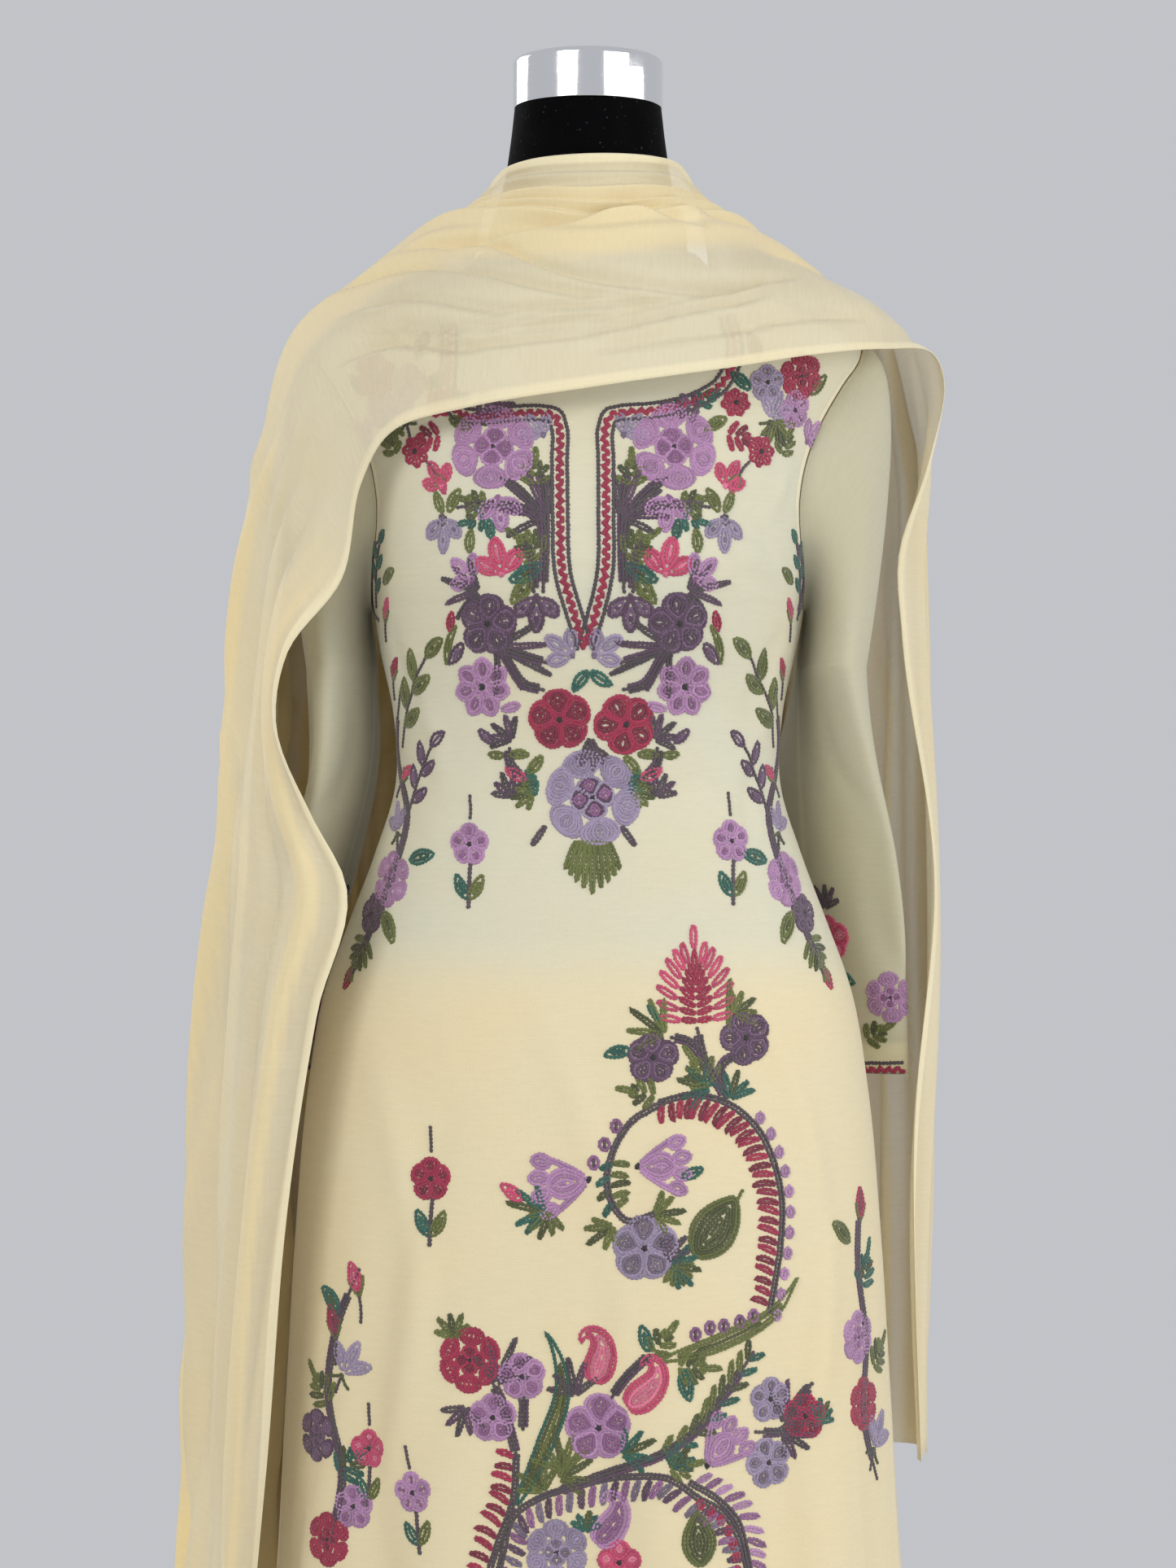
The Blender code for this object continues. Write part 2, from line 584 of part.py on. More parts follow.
def salwar_leg(name, side):
    """Below the crotch a leg is a tube. Above it, it is open at the middle and meets the other leg."""
    turn = np.linspace(0, 1, LEG_COLUMNS + 1)
    rows = []
    for z in np.linspace(LEG[0].z, CROTCH_Z, LEG_ROWS_BELOW):
        x, half_width, half_depth = (
            through(column(LEG, "z"), column(LEG, part), z) for part in ("x", "half_width", "half_depth")
        )
        angle = math.pi + 2 * math.pi * turn
        rows.append(np.stack([x + half_width * np.cos(angle), half_depth * np.sin(angle), 0 * turn + z], -1))
    joined = rows[-1]
    top_z = BELT[0].z - SEAM_GAP
    at_belt = ring_point(BELT, math.pi / 2 - math.pi * turn, np.full_like(turn, BELT[0].z))
    for share in np.linspace(0, 1, LEG_ROWS_ABOVE + 1)[1:]:
        open_up = eased(share**0.7)
        row = joined * (1 - open_up) + at_belt * open_up
        row[:, 2] = CROTCH_Z + (top_z - CROTCH_Z) * share
        rows.append(row)
    points = np.array(rows)
    height = (points[..., 2] - LEG[0].z) / (top_z - LEG[0].z)
    depth = LEG_PLEAT_DEPTH * np.sin(math.pi * np.clip(height, 0, 1)) ** 0.5
    middle = points.mean(axis=1, keepdims=True)
    outwards = (points - middle)[..., :2]
    outwards /= np.linalg.norm(outwards, axis=-1, keepdims=True)
    wave = np.sin(2 * math.pi * LEG_PLEATS * turn) * np.sin(math.pi * turn) ** 0.5
    points[..., :2] += (depth * wave)[..., None] * outwards
    points[:LEG_ROWS_BELOW, -1] = points[:LEG_ROWS_BELOW, 0]
    points[..., 0] = side * np.maximum(points[..., 0], SEAM_GAP / 2)
    inwards = inwards_of(points, SALWAR_WALL, closed=True)
    inwards[LEG_ROWS_BELOW:, 0] = [0, SALWAR_WALL, 0]
    inwards[LEG_ROWS_BELOW:, -1] = [0, -SALWAR_WALL, 0]
    cloth(name, points, inwards, "santoon", closed_rows=LEG_ROWS_BELOW)


def salwar_cuff(name, side):
    z, angle = np.meshgrid(
        np.linspace(CUFF_BOTTOM_Z, CUFF_TOP_Z, 3), np.linspace(0, 2 * math.pi, CUFF_COLUMNS + 1), indexing="ij"
    )
    x = side * LEG[0].x + CUFF_HALF_WIDTH * np.cos(angle)
    tube(name, np.stack([x, CUFF_HALF_DEPTH * np.sin(angle), z], -1), SALWAR_WALL, "santoon")


def clear_of_body(points, clearance):
    """Moves out what lies inside the kameez and the neck, so that the sheet rests on them."""
    body = KAMEEZ + NECK

    def level(where):
        half_width, front, back = sizes_at(body, where[..., 2])
        y = where[..., 1]
        bust = with_bust(np.stack([where[..., 0], 0 * y - 1, where[..., 2]], -1))[..., 1] + 1
        depth = np.where(y < 0, front - bust, back) + clearance
        x_share = np.abs(where[..., 0]) / (half_width + clearance)
        return (x_share**SQUARENESS + (np.abs(y) / depth) ** SQUARENESS) ** (1 / SQUARENESS)

    step = 0.0005
    for _ in range(6):
        here = level(points)
        slope = np.stack(
            [(level(points + step * axis) - level(points - step * axis)) / (2 * step) for axis in np.eye(3)], -1
        )
        size = np.maximum(np.sum(slope**2, axis=-1), 1.0)
        push = np.where(here < 1, (1 - here) / size, 0)
        points = points + push[..., None] * slope
    return points


def dupatta_skin(along, across):
    """The sheet before its pleats: a smooth skin over its five lines."""
    lines = [through(column(g, "along"), np.array([[b.x, b.y, b.z] for b in g]), along) for g in GUIDES]
    lines = np.stack(lines)
    sway = PLEAT_SWAY * np.sin(math.pi * across) * np.sin(9 * along[:, None] + 5 * across)
    return np.stack([through(ACROSS, lines[:, r], across + sway[r]) for r in range(len(along))])


def dupatta_points(along, across):
    """The skin with the pleats that run along it, resting on the body."""
    skin = dupatta_skin(along, across)
    step = 0.004
    lengthwise = dupatta_skin(along + step, across) - dupatta_skin(along - step, across)
    after, before = np.minimum(across + step, 1), np.maximum(across - step, 0)
    crosswise = dupatta_skin(along, after) - dupatta_skin(along, before)
    normals = np.cross(crosswise, lengthwise)
    normals /= np.linalg.norm(normals, axis=-1, keepdims=True)
    turn = 2 * math.pi * PLEAT_COUNT * (across - PLEAT_START) / (1 - PLEAT_START)
    depth = through(column(PLEAT_DEPTHS, "along"), column(PLEAT_DEPTHS, "depth"), along)[:, None]
    rise = eased((across - PLEAT_START) / (PLEAT_FULL - PLEAT_START))
    return clear_of_body(skin + (depth * rise * np.sin(turn))[..., None] * normals, DUPATTA_CLEARANCE)


def dupatta():
    """One sheet in three stretches, which meet over the shoulders."""
    pleated = PLEAT_COUNT * COLUMNS_PER_PLEAT
    across = np.concatenate(
        [
            np.linspace(0, PLEAT_START, FLAT_COLUMNS + 1)[:-1],
            np.linspace(PLEAT_START, 1, pleated + 1),
        ]
    )
    stretches = []
    for rows, start, end in zip(DUPATTA_ROWS.values(), DUPATTA_CUTS, DUPATTA_CUTS[1:]):
        start += SEAM_GAP / 2 if stretches else 0
        end -= SEAM_GAP / 2 if end < DUPATTA_CUTS[-1] else 0
        even = np.linspace(start, end, rows + 1)
        stretches.append(even if start * end > 0 else even * (0.7 + 0.3 * (even / end) ** 2))
    points = dupatta_points(np.concatenate(stretches), across)
    inwards = inwards_of(points, DUPATTA_WALL, closed=False)
    starts = np.cumsum([0] + [len(along) for along in stretches])
    for seam in starts[1:-1]:
        inwards[seam - 1 : seam + 1] = inwards[seam - 1 : seam + 1].mean(axis=0)
    for name, start, end in zip(DUPATTA_ROWS, starts, starts[1:]):
        cloth(name, points[start:end], inwards[start:end], "chiffon")


def dress_form():
    """The torso: smooth, whole, without arms, head or legs."""
    inset, drop = FORM_SHOULDER_INSET, FORM_SHOULDER_DROP
    above = [
        Section(s.z - drop, s.half_width - inset, s.front - inset, s.back - inset)
        for s in KAMEEZ
        if s.z > FORM_BELOW[-1].z
    ]
    sections = FORM_BELOW + above + NECK
    heights = np.array([s.z for s in sections])
    z, angle = np.meshgrid(
        heights, np.arange(FORM_COLUMNS) * 2 * math.pi / FORM_COLUMNS, indexing="ij"
    )
    stacked("form_torso", with_bust(ring_point(sections, angle, z)), "form_cover")


def stand():
    base_top = BASE_THICKNESS
    turned("form_neck_cap", CAP_RADIUS, CAP_BOTTOM_Z, CAP_TOP_Z, 0, "chrome", CAP_ROUNDING, sides=40)
    turned("stand_base", BASE_RADIUS, 0, base_top, 0, "chrome", rounding=0.003, sides=48)
    turned("stand_pole", POLE_RADIUS, base_top + SEAM_GAP, FORM_BELOW[0].z - SEAM_GAP, POLE_X, "chrome", sides=20)
    collar = turned(
        "stand_collar", COLLAR_RADIUS, base_top + SEAM_GAP, base_top + COLLAR_HEIGHT, POLE_X, "chrome", 0.002
    )
    bpy.ops.mesh.primitive_cylinder_add(
        vertices=20, radius=POLE_RADIUS + SEAM_GAP, depth=4 * COLLAR_HEIGHT, location=(POLE_X, 0, COLLAR_HEIGHT)
    )
    hole = bpy.context.object
    hole.name = "collar_hole"
    hole.hide_render = True
    hole.display_type = "WIRE"
    cut = collar.modifiers.new("Pole hole", "BOOLEAN")
    cut.operation = "DIFFERENCE"
    cut.object = hole


def main():
    for old in list(bpy.data.objects):
        bpy.data.objects.remove(old)
    dress_form()
    stand()
    kameez_panel("kameez_front", front=True)
    kameez_panel("kameez_back", front=False)
    sleeve("sleeve_left", LEFT_SLEEVE, -1, LEFT_CAP_REACH)
    sleeve("sleeve_right", RIGHT_SLEEVE, 1, RIGHT_CAP_REACH)
    salwar_belt()
    salwar_leg("salwar_leg_left", -1)
    salwar_leg("salwar_leg_right", 1)
    salwar_cuff("salwar_cuff_left", -1)
    salwar_cuff("salwar_cuff_right", 1)
    dupatta()


main()
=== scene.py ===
"""The looks of a salwar kameez suit with its dupatta, on a limbless dress form.

Metres, +Z up. The front faces -Y. Left and right are the viewer's, facing the front.
Each cloth is a thin shell: a grid of points worked out from the tables below, which are the
garment's own sizes, with its creases, hems, seams and embroidery laid on it.
"""

import math
from collections import namedtuple

import bmesh
import bpy
import numpy as np
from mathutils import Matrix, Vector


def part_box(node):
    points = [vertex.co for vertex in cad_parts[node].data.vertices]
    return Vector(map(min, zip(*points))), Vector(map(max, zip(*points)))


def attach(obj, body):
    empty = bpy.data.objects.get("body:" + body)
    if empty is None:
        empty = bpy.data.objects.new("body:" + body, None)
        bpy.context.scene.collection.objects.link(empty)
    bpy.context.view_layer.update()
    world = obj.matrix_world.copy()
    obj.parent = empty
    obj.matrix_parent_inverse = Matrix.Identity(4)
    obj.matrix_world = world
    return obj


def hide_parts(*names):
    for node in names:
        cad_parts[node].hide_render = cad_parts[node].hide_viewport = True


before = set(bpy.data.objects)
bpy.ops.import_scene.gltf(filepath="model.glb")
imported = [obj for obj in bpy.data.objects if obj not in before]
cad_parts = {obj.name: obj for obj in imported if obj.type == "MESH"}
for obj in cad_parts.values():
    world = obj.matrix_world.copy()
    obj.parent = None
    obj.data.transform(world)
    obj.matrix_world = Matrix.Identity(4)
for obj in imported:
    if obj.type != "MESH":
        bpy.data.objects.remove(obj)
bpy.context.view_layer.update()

# The plan of the torso: 2 would be an ellipse, and more is squarer
SQUARENESS = 2.2

Section = namedtuple("Section", "z half_width front back")

# Outer face of the kameez, hem to neck edge
KAMEEZ = [
    Section(0.285, 0.238, 0.150, 0.152),
    Section(0.420, 0.228, 0.146, 0.148),
    Section(0.550, 0.217, 0.141, 0.143),
    Section(0.660, 0.211, 0.137, 0.139),
    Section(0.780, 0.204, 0.132, 0.134),
    Section(0.870, 0.196, 0.126, 0.130),
    Section(0.940, 0.184, 0.119, 0.126),
    Section(0.990, 0.166, 0.112, 0.117),
    Section(1.035, 0.149, 0.105, 0.103),
    Section(1.085, 0.1345, 0.097, 0.090),
    Section(1.130, 0.136, 0.103, 0.090),
    Section(1.180, 0.146, 0.117, 0.096),
    Section(1.230, 0.153, 0.127, 0.100),
    Section(1.280, 0.158, 0.124, 0.103),
    Section(1.320, 0.168, 0.112, 0.101),
    Section(1.360, 0.183, 0.095, 0.093),
    Section(1.380, 0.191, 0.083, 0.086),
    Section(1.392, 0.189, 0.075, 0.081),
    Section(1.402, 0.171, 0.070, 0.077),
    Section(1.412, 0.149, 0.066, 0.073),
    Section(1.422, 0.127, 0.064, 0.070),
    Section(1.432, 0.106, 0.063, 0.068),
    Section(1.442, 0.088, 0.062, 0.066),
    Section(1.452, 0.077, 0.0615, 0.064),
]

# The neck above the kameez, which the dupatta goes round
NECK = [
    Section(1.470, 0.069, 0.0580, 0.0605),
    Section(1.500, 0.0595, 0.0555, 0.0575),
    Section(1.530, 0.0545, 0.0530, 0.0540),
    Section(1.5555, 0.0515, 0.0515, 0.0515),
]

# The dress form below its shoulders. Above them it lies just inside the kameez.
FORM_BELOW = [
    Section(0.905, 0.150, 0.090, 0.096),
    Section(0.915, 0.161, 0.099, 0.105),
    Section(0.935, 0.1645, 0.1025, 0.1090),
    Section(0.960, 0.1620, 0.1020, 0.1075),
    Section(0.990, 0.1550, 0.1000, 0.1040),
    Section(1.035, 0.1430, 0.0970, 0.0960),
    Section(1.085, 0.1300, 0.0920, 0.0855),
    Section(1.130, 0.1315, 0.0980, 0.0855),
    Section(1.180, 0.1410, 0.1100, 0.0910),
    Section(1.230, 0.1480, 0.1190, 0.0950),
    Section(1.280, 0.1535, 0.1190, 0.0985),
    Section(1.320, 0.1640, 0.1080, 0.0970),
    Section(1.360, 0.1795, 0.0915, 0.0895),
]
FORM_SHOULDER_INSET, FORM_SHOULDER_DROP = 0.0043, 0.0028

# Bust: a soft rise on each side of the front
BUST_X, BUST_Z = 0.072, 1.235
BUST_REACH_X, BUST_REACH_Z = 0.050, 0.055
BUST_RISE = 0.011

# Armholes, and the side slits below the hip
ARMPIT_Z, SHOULDER_TIP_Z = 1.205, 1.388
ARMHOLE_TURN = math.radians(25)
ARMHOLE_FIT = 0.97
SLIT_TOP_Z = 0.720
SLIT_TURN = math.radians(9)

# Soft folds of the kameez skirt
SKIRT_FOLDS = 10
SKIRT_FOLD_TOP_Z = 0.960
SKIRT_FOLD_DEPTH = 0.0075
SKIRT_FOLD_PHASE = 0.6

# Sleeves: each leaves the armhole outwards and hangs as a flat, empty tube.
# turn_deg turns its flat from front-and-back towards the back of the body.
SleeveRing = namedtuple("SleeveRing", "z x y half_length half_thickness turn_deg")
LEFT_SLEEVE = [
    SleeveRing(1.165, 0.1740, 0.026, 0.080, 0.0230, 4),
    SleeveRing(1.100, 0.1730, 0.030, 0.078, 0.0200, 8),
    SleeveRing(1.030, 0.1860, 0.034, 0.076, 0.0170, 10),
    SleeveRing(0.950, 0.2060, 0.036, 0.073, 0.0150, 10),
    SleeveRing(0.880, 0.2130, 0.038, 0.070, 0.0140, 10),
]
RIGHT_SLEEVE = [
    SleeveRing(1.165, 0.1720, 0.030, 0.080, 0.0230, 4),
    SleeveRing(1.100, 0.1690, 0.048, 0.078, 0.0200, 20),
    SleeveRing(1.030, 0.1690, 0.068, 0.076, 0.0180, 38),
    SleeveRing(0.950, 0.1700, 0.092, 0.073, 0.0170, 52),
    SleeveRing(0.875, 0.1720, 0.100, 0.070, 0.0170, 55),
]
LEFT_CAP_REACH, RIGHT_CAP_REACH = 0.016, 0.026

# Salwar: a plain belt round the hip, two pleated legs and their cuffs
BELT = [
    Section(0.862, 0.1740, 0.1090, 0.1155),
    Section(0.905, 0.1725, 0.1085, 0.1145),
    Section(0.940, 0.1685, 0.1060, 0.1115),
    Section(0.976, 0.1624, 0.1027, 0.1073),
]

LegRing = namedtuple("LegRing", "z x half_width half_depth")
CROTCH_Z = 0.640
LEG = [
    LegRing(0.100, 0.1050, 0.0640, 0.0600),
    LegRing(0.140, 0.1050, 0.0720, 0.0680),
    LegRing(0.250, 0.1040, 0.0820, 0.0790),
    LegRing(0.400, 0.1020, 0.0890, 0.0860),
    LegRing(0.550, 0.0975, 0.0925, 0.0930),
    LegRing(CROTCH_Z, 0.0925, 0.0915, 0.0980),
]
LEG_PLEATS = 8
LEG_PLEAT_DEPTH = 0.0060
CUFF_BOTTOM_Z, CUFF_TOP_Z = 0.040, 0.0995
CUFF_HALF_WIDTH, CUFF_HALF_DEPTH = 0.0660, 0.0620

# Dupatta: five lines that run the whole length of the sheet, each with a row for each bend.
# along is the distance from the front of the throat, less than zero towards -X.
Bend = namedtuple("Bend", "along x y z")
LOWER_EDGE = [
    Bend(-1.16, -0.235, -0.090, 0.400),
    Bend(-0.95, -0.219, -0.100, 0.610),
    Bend(-0.75, -0.201, -0.104, 0.800),
    Bend(-0.60, -0.181, -0.105, 0.930),
    Bend(-0.50, -0.163, -0.100, 1.018),
    Bend(-0.45, -0.186, -0.094, 1.062),
    Bend(-0.38, -0.211, -0.088, 1.125),
    Bend(-0.33, -0.204, -0.090, 1.170),
    Bend(-0.26, -0.166, -0.094, 1.222),
    Bend(-0.19, -0.153, -0.098, 1.286),
    Bend(-0.13, -0.128, -0.110, 1.322),
    Bend(-0.08, -0.082, -0.122, 1.334),
    Bend(0.00, 0.000, -0.128, 1.347),
    Bend(0.10, 0.098, -0.118, 1.362),
    Bend(0.16, 0.153, -0.096, 1.373),
    Bend(0.22, 0.205, -0.054, 1.382),
    Bend(0.27, 0.241, -0.012, 1.384),
    Bend(0.31, 0.252, 0.014, 1.362),
    Bend(0.36, 0.242, 0.026, 1.310),
    Bend(0.43, 0.222, 0.034, 1.245),
    Bend(0.49, 0.225, 0.036, 1.190),
    Bend(0.68, 0.249, 0.040, 1.010),
    Bend(0.86, 0.232, 0.044, 0.830),
    Bend(1.10, 0.240, 0.044, 0.578),
]
FRONT_FOLD = [
    Bend(-1.16, -0.256, -0.066, 0.400),
    Bend(-0.70, -0.236, -0.070, 0.840),
    Bend(-0.50, -0.228, -0.064, 1.030),
    Bend(-0.38, -0.224, -0.052, 1.160),
    Bend(-0.28, -0.208, -0.056, 1.265),
    Bend(-0.20, -0.180, -0.066, 1.352),
    Bend(-0.14, -0.136, -0.086, 1.388),
    Bend(-0.08, -0.078, -0.106, 1.404),
    Bend(0.00, 0.000, -0.114, 1.408),
    Bend(0.08, 0.080, -0.104, 1.414),
    Bend(0.16, 0.155, -0.066, 1.420),
    Bend(0.24, 0.216, 0.002, 1.408),
    Bend(0.32, 0.241, 0.060, 1.348),
    Bend(0.45, 0.246, 0.084, 1.225),
    Bend(0.68, 0.254, 0.092, 1.005),
    Bend(1.10, 0.246, 0.096, 0.578),
]
RIDGE = [
    Bend(-1.16, -0.274, -0.006, 0.400),
    Bend(-0.75, -0.264, 0.004, 0.835),
    Bend(-0.50, -0.247, 0.014, 1.085),
    Bend(-0.35, -0.232, 0.020, 1.245),
    Bend(-0.26, -0.222, 0.018, 1.345),
    Bend(-0.21, -0.203, 0.012, 1.402),
    Bend(-0.16, -0.161, 0.000, 1.436),
    Bend(-0.11, -0.112, -0.030, 1.460),
    Bend(-0.06, -0.060, -0.074, 1.457),
    Bend(0.00, 0.000, -0.094, 1.453),
    Bend(0.06, 0.060, -0.074, 1.461),
    Bend(0.11, 0.112, -0.028, 1.466),
    Bend(0.16, 0.154, 0.004, 1.447),
    Bend(0.22, 0.192, 0.044, 1.412),
    Bend(0.30, 0.212, 0.100, 1.340),
    Bend(0.45, 0.215, 0.146, 1.195),
    Bend(1.10, 0.206, 0.156, 0.578),
]
BACK_FOLD = [
    Bend(-1.16, -0.206, 0.160, 0.400),
    Bend(-0.50, -0.204, 0.162, 1.085),
    Bend(-0.30, -0.190, 0.138, 1.285),
    Bend(-0.20, -0.158, 0.096, 1.388),
    Bend(-0.14, -0.116, 0.048, 1.446),
    Bend(-0.09, -0.082, -0.010, 1.486),
    Bend(-0.05, -0.048, -0.058, 1.487),
    Bend(0.00, 0.000, -0.078, 1.485),
    Bend(0.05, 0.050, -0.058, 1.490),
    Bend(0.09, 0.084, -0.008, 1.489),
    Bend(0.14, 0.116, 0.050, 1.450),
    Bend(0.20, 0.150, 0.094, 1.394),
    Bend(0.30, 0.158, 0.142, 1.290),
    Bend(0.50, 0.148, 0.172, 1.085),
    Bend(1.10, 0.136, 0.176, 0.578),
]
UPPER_EDGE = [
    Bend(-1.16, -0.078, 0.176, 0.400),
    Bend(-0.42, -0.082, 0.168, 1.140),
    Bend(-0.27, -0.088, 0.138, 1.288),
    Bend(-0.17, -0.088, 0.090, 1.400),
    Bend(-0.12, -0.080, 0.042, 1.462),
    Bend(-0.075, -0.0645, -0.006, 1.505),
    Bend(-0.035, -0.042, -0.050, 1.512),
    Bend(0.00, 0.002, -0.066, 1.514),
    Bend(0.035, 0.046, -0.048, 1.515),
    Bend(0.075, 0.067, -0.002, 1.512),
    Bend(0.12, 0.084, 0.044, 1.468),
    Bend(0.17, 0.088, 0.090, 1.408),
    Bend(0.27, 0.080, 0.138, 1.292),
    Bend(0.42, 0.070, 0.170, 1.140),
    Bend(1.10, 0.052, 0.182, 0.578),
]
# Where each line lies across the sheet, from the lower edge, 0, to the upper edge, 1
ACROSS = [0.0, 0.12, 0.30, 0.66, 1.0]
GUIDES = [LOWER_EDGE, FRONT_FOLD, RIDGE, BACK_FOLD, UPPER_EDGE]

# Pleats that run the length of the dupatta, shallow at the throat and deep at the ends
Pleat = namedtuple("Pleat", "along depth")
PLEAT_DEPTHS = [
    Pleat(-1.16, 0.0225),
    Pleat(-0.60, 0.0215),
    Pleat(-0.30, 0.0125),
    Pleat(-0.16, 0.0036),
    Pleat(0.00, 0.0020),
    Pleat(0.16, 0.0036),
    Pleat(0.30, 0.0125),
    Pleat(0.60, 0.0220),
    Pleat(1.10, 0.0235),
]
PLEAT_COUNT = 6
PLEAT_START, PLEAT_FULL = 0.18, 0.36
PLEAT_SWAY = 0.022
DUPATTA_CUTS = [-1.12, -0.30, 0.30, 1.08]
DUPATTA_CLEARANCE = 0.0042

# The form's neck cap, and the stand
CAP_RADIUS = 0.0525
CAP_BOTTOM_Z, CAP_TOP_Z = 1.5560, 1.5910
CAP_ROUNDING = 0.0045
POLE_X = 0.085
POLE_RADIUS = 0.0125
BASE_RADIUS, BASE_THICKNESS = 0.180, 0.012
COLLAR_RADIUS, COLLAR_HEIGHT = 0.024, 0.018

SEAM_GAP = 0.0003


def through(knots, values, at):
    """Smooth curve through a table's rows, read at one place or at an array of places."""
    knots, values = np.asarray(knots, float), np.asarray(values, float)
    slopes = np.gradient(values, knots, axis=0)
    at = np.clip(np.asarray(at, float), knots[0], knots[-1])
    low = np.clip(np.searchsorted(knots, at) - 1, 0, len(knots) - 2)
    span = knots[low + 1] - knots[low]
    share = (at - knots[low]) / span
    spread = share.shape + (1,) * (values.ndim - 1)
    share, span = share.reshape(spread), span.reshape(spread)
    return (
        (1 + 2 * share) * (1 - share) ** 2 * values[low]
        + share * (1 - share) ** 2 * span * slopes[low]
        + share**2 * (3 - 2 * share) * values[low + 1]
        + share**2 * (share - 1) * span * slopes[low + 1]
    )


def column(table, name):
    return np.array([getattr(row, name) for row in table])


def eased(share):
    """0 below 0, 1 above 1, and smooth between."""
    share = np.clip(share, 0, 1)
    return share**2 * (3 - 2 * share)


def sizes_at(table, z):
    return [through(column(table, "z"), column(table, name), z) for name in ("half_width", "front", "back")]


def ring_point(table, angle, z):
    """Point of a section: angle 0 is its +X side, a quarter turn the front, half a turn the -X side."""
    half_width, front, back = sizes_at(table, z)
    cosine, sine = np.cos(angle), np.sin(angle)
    x = half_width * np.sign(cosine) * np.abs(cosine) ** (2 / SQUARENESS)
    y = -np.where(sine > 0, front, back) * np.sign(sine) * np.abs(sine) ** (2 / SQUARENESS)
    return np.stack([x, y, z + 0 * angle], -1)


def with_bust(points):
    x, y, z = points[..., 0], points[..., 1], points[..., 2]
    rise = np.exp(-(((np.abs(x) - BUST_X) / BUST_REACH_X) ** 2) - ((z - BUST_Z) / BUST_REACH_Z) ** 2)
    moved = points.copy()
    moved[..., 1] -= BUST_RISE * rise * (y < 0)
    return moved


def kameez_point(angle, z):
    """Outer face of the kameez, with its bust and the soft folds of its skirt."""
    points = with_bust(ring_point(KAMEEZ, angle, z))
    depth = SKIRT_FOLD_DEPTH * eased((SKIRT_FOLD_TOP_Z - z) / (SKIRT_FOLD_TOP_Z - KAMEEZ[0].z)) ** 1.3
    fold = depth * np.sin(SKIRT_FOLDS * angle + SKIRT_FOLD_PHASE) * np.abs(np.sin(angle)) ** 0.5
    outwards = points[..., :2] / np.linalg.norm(points[..., :2], axis=-1, keepdims=True)
    points[..., :2] += fold[..., None] * outwards
    return points


def edge_turn(z):
    """How far the panels' edges turn away from the side: round the armhole, and at the slit."""
    up = np.clip((z - ARMPIT_Z) / (SHOULDER_TIP_Z - ARMPIT_Z), 0, 1)
    down = np.clip((SLIT_TOP_Z - z) / (SLIT_TOP_Z - KAMEEZ[0].z), 0, 1)
    return ARMHOLE_TURN * np.sin(math.pi * up) ** 0.6 + SLIT_TURN * down**0.9


# The finer grids of the visible shells: rows by columns
KAMEEZ_GRID = (236, 151)
SLEEVE_CAP_GRID, SLEEVE_HANG_GRID, SLEEVE_GRID_COLUMNS = 56, 72, 96
BELT_GRID = (16, 140)
LEG_GRID = (130, 160)
CUFF_GRID = (16, 120)
DUPATTA_GRID = (250, 176)

SHELL = 0.0006
HEM_DEPTH = 0.016


def shade(hexed):
    """A colour written as on a thread chart, in the renderer's linear values."""
    parts = [int(hexed[i : i + 2], 16) / 255 for i in (0, 2, 4)]
    return tuple(p / 12.92 if p <= 0.04045 else ((p + 0.055) / 1.055) ** 2.4 for p in parts) + (1.0,)


class Wire:
    """A value that varies over a surface: working with it adds Math nodes to its look."""

    def __init__(self, look, socket):
        self.look, self.socket = look, socket

    def math(self, operation, *values):
        inputs = dict(enumerate([self, *values]))
        return self.look.add("ShaderNodeMath", {"operation": operation}, inputs)

    def __add__(self, other):
        return self.math("ADD", other)

    def __mul__(self, other):
        return self.math("MULTIPLY", other)

    def __sub__(self, other):
        return self.math("SUBTRACT", other)

    def __rsub__(self, other):
        return self.look.add("ShaderNodeMath", {"operation": "SUBTRACT"}, {0: other, 1: self})

    def __pow__(self, other):
        return self.math("POWER", other)

    __radd__, __rmul__ = __add__, __mul__


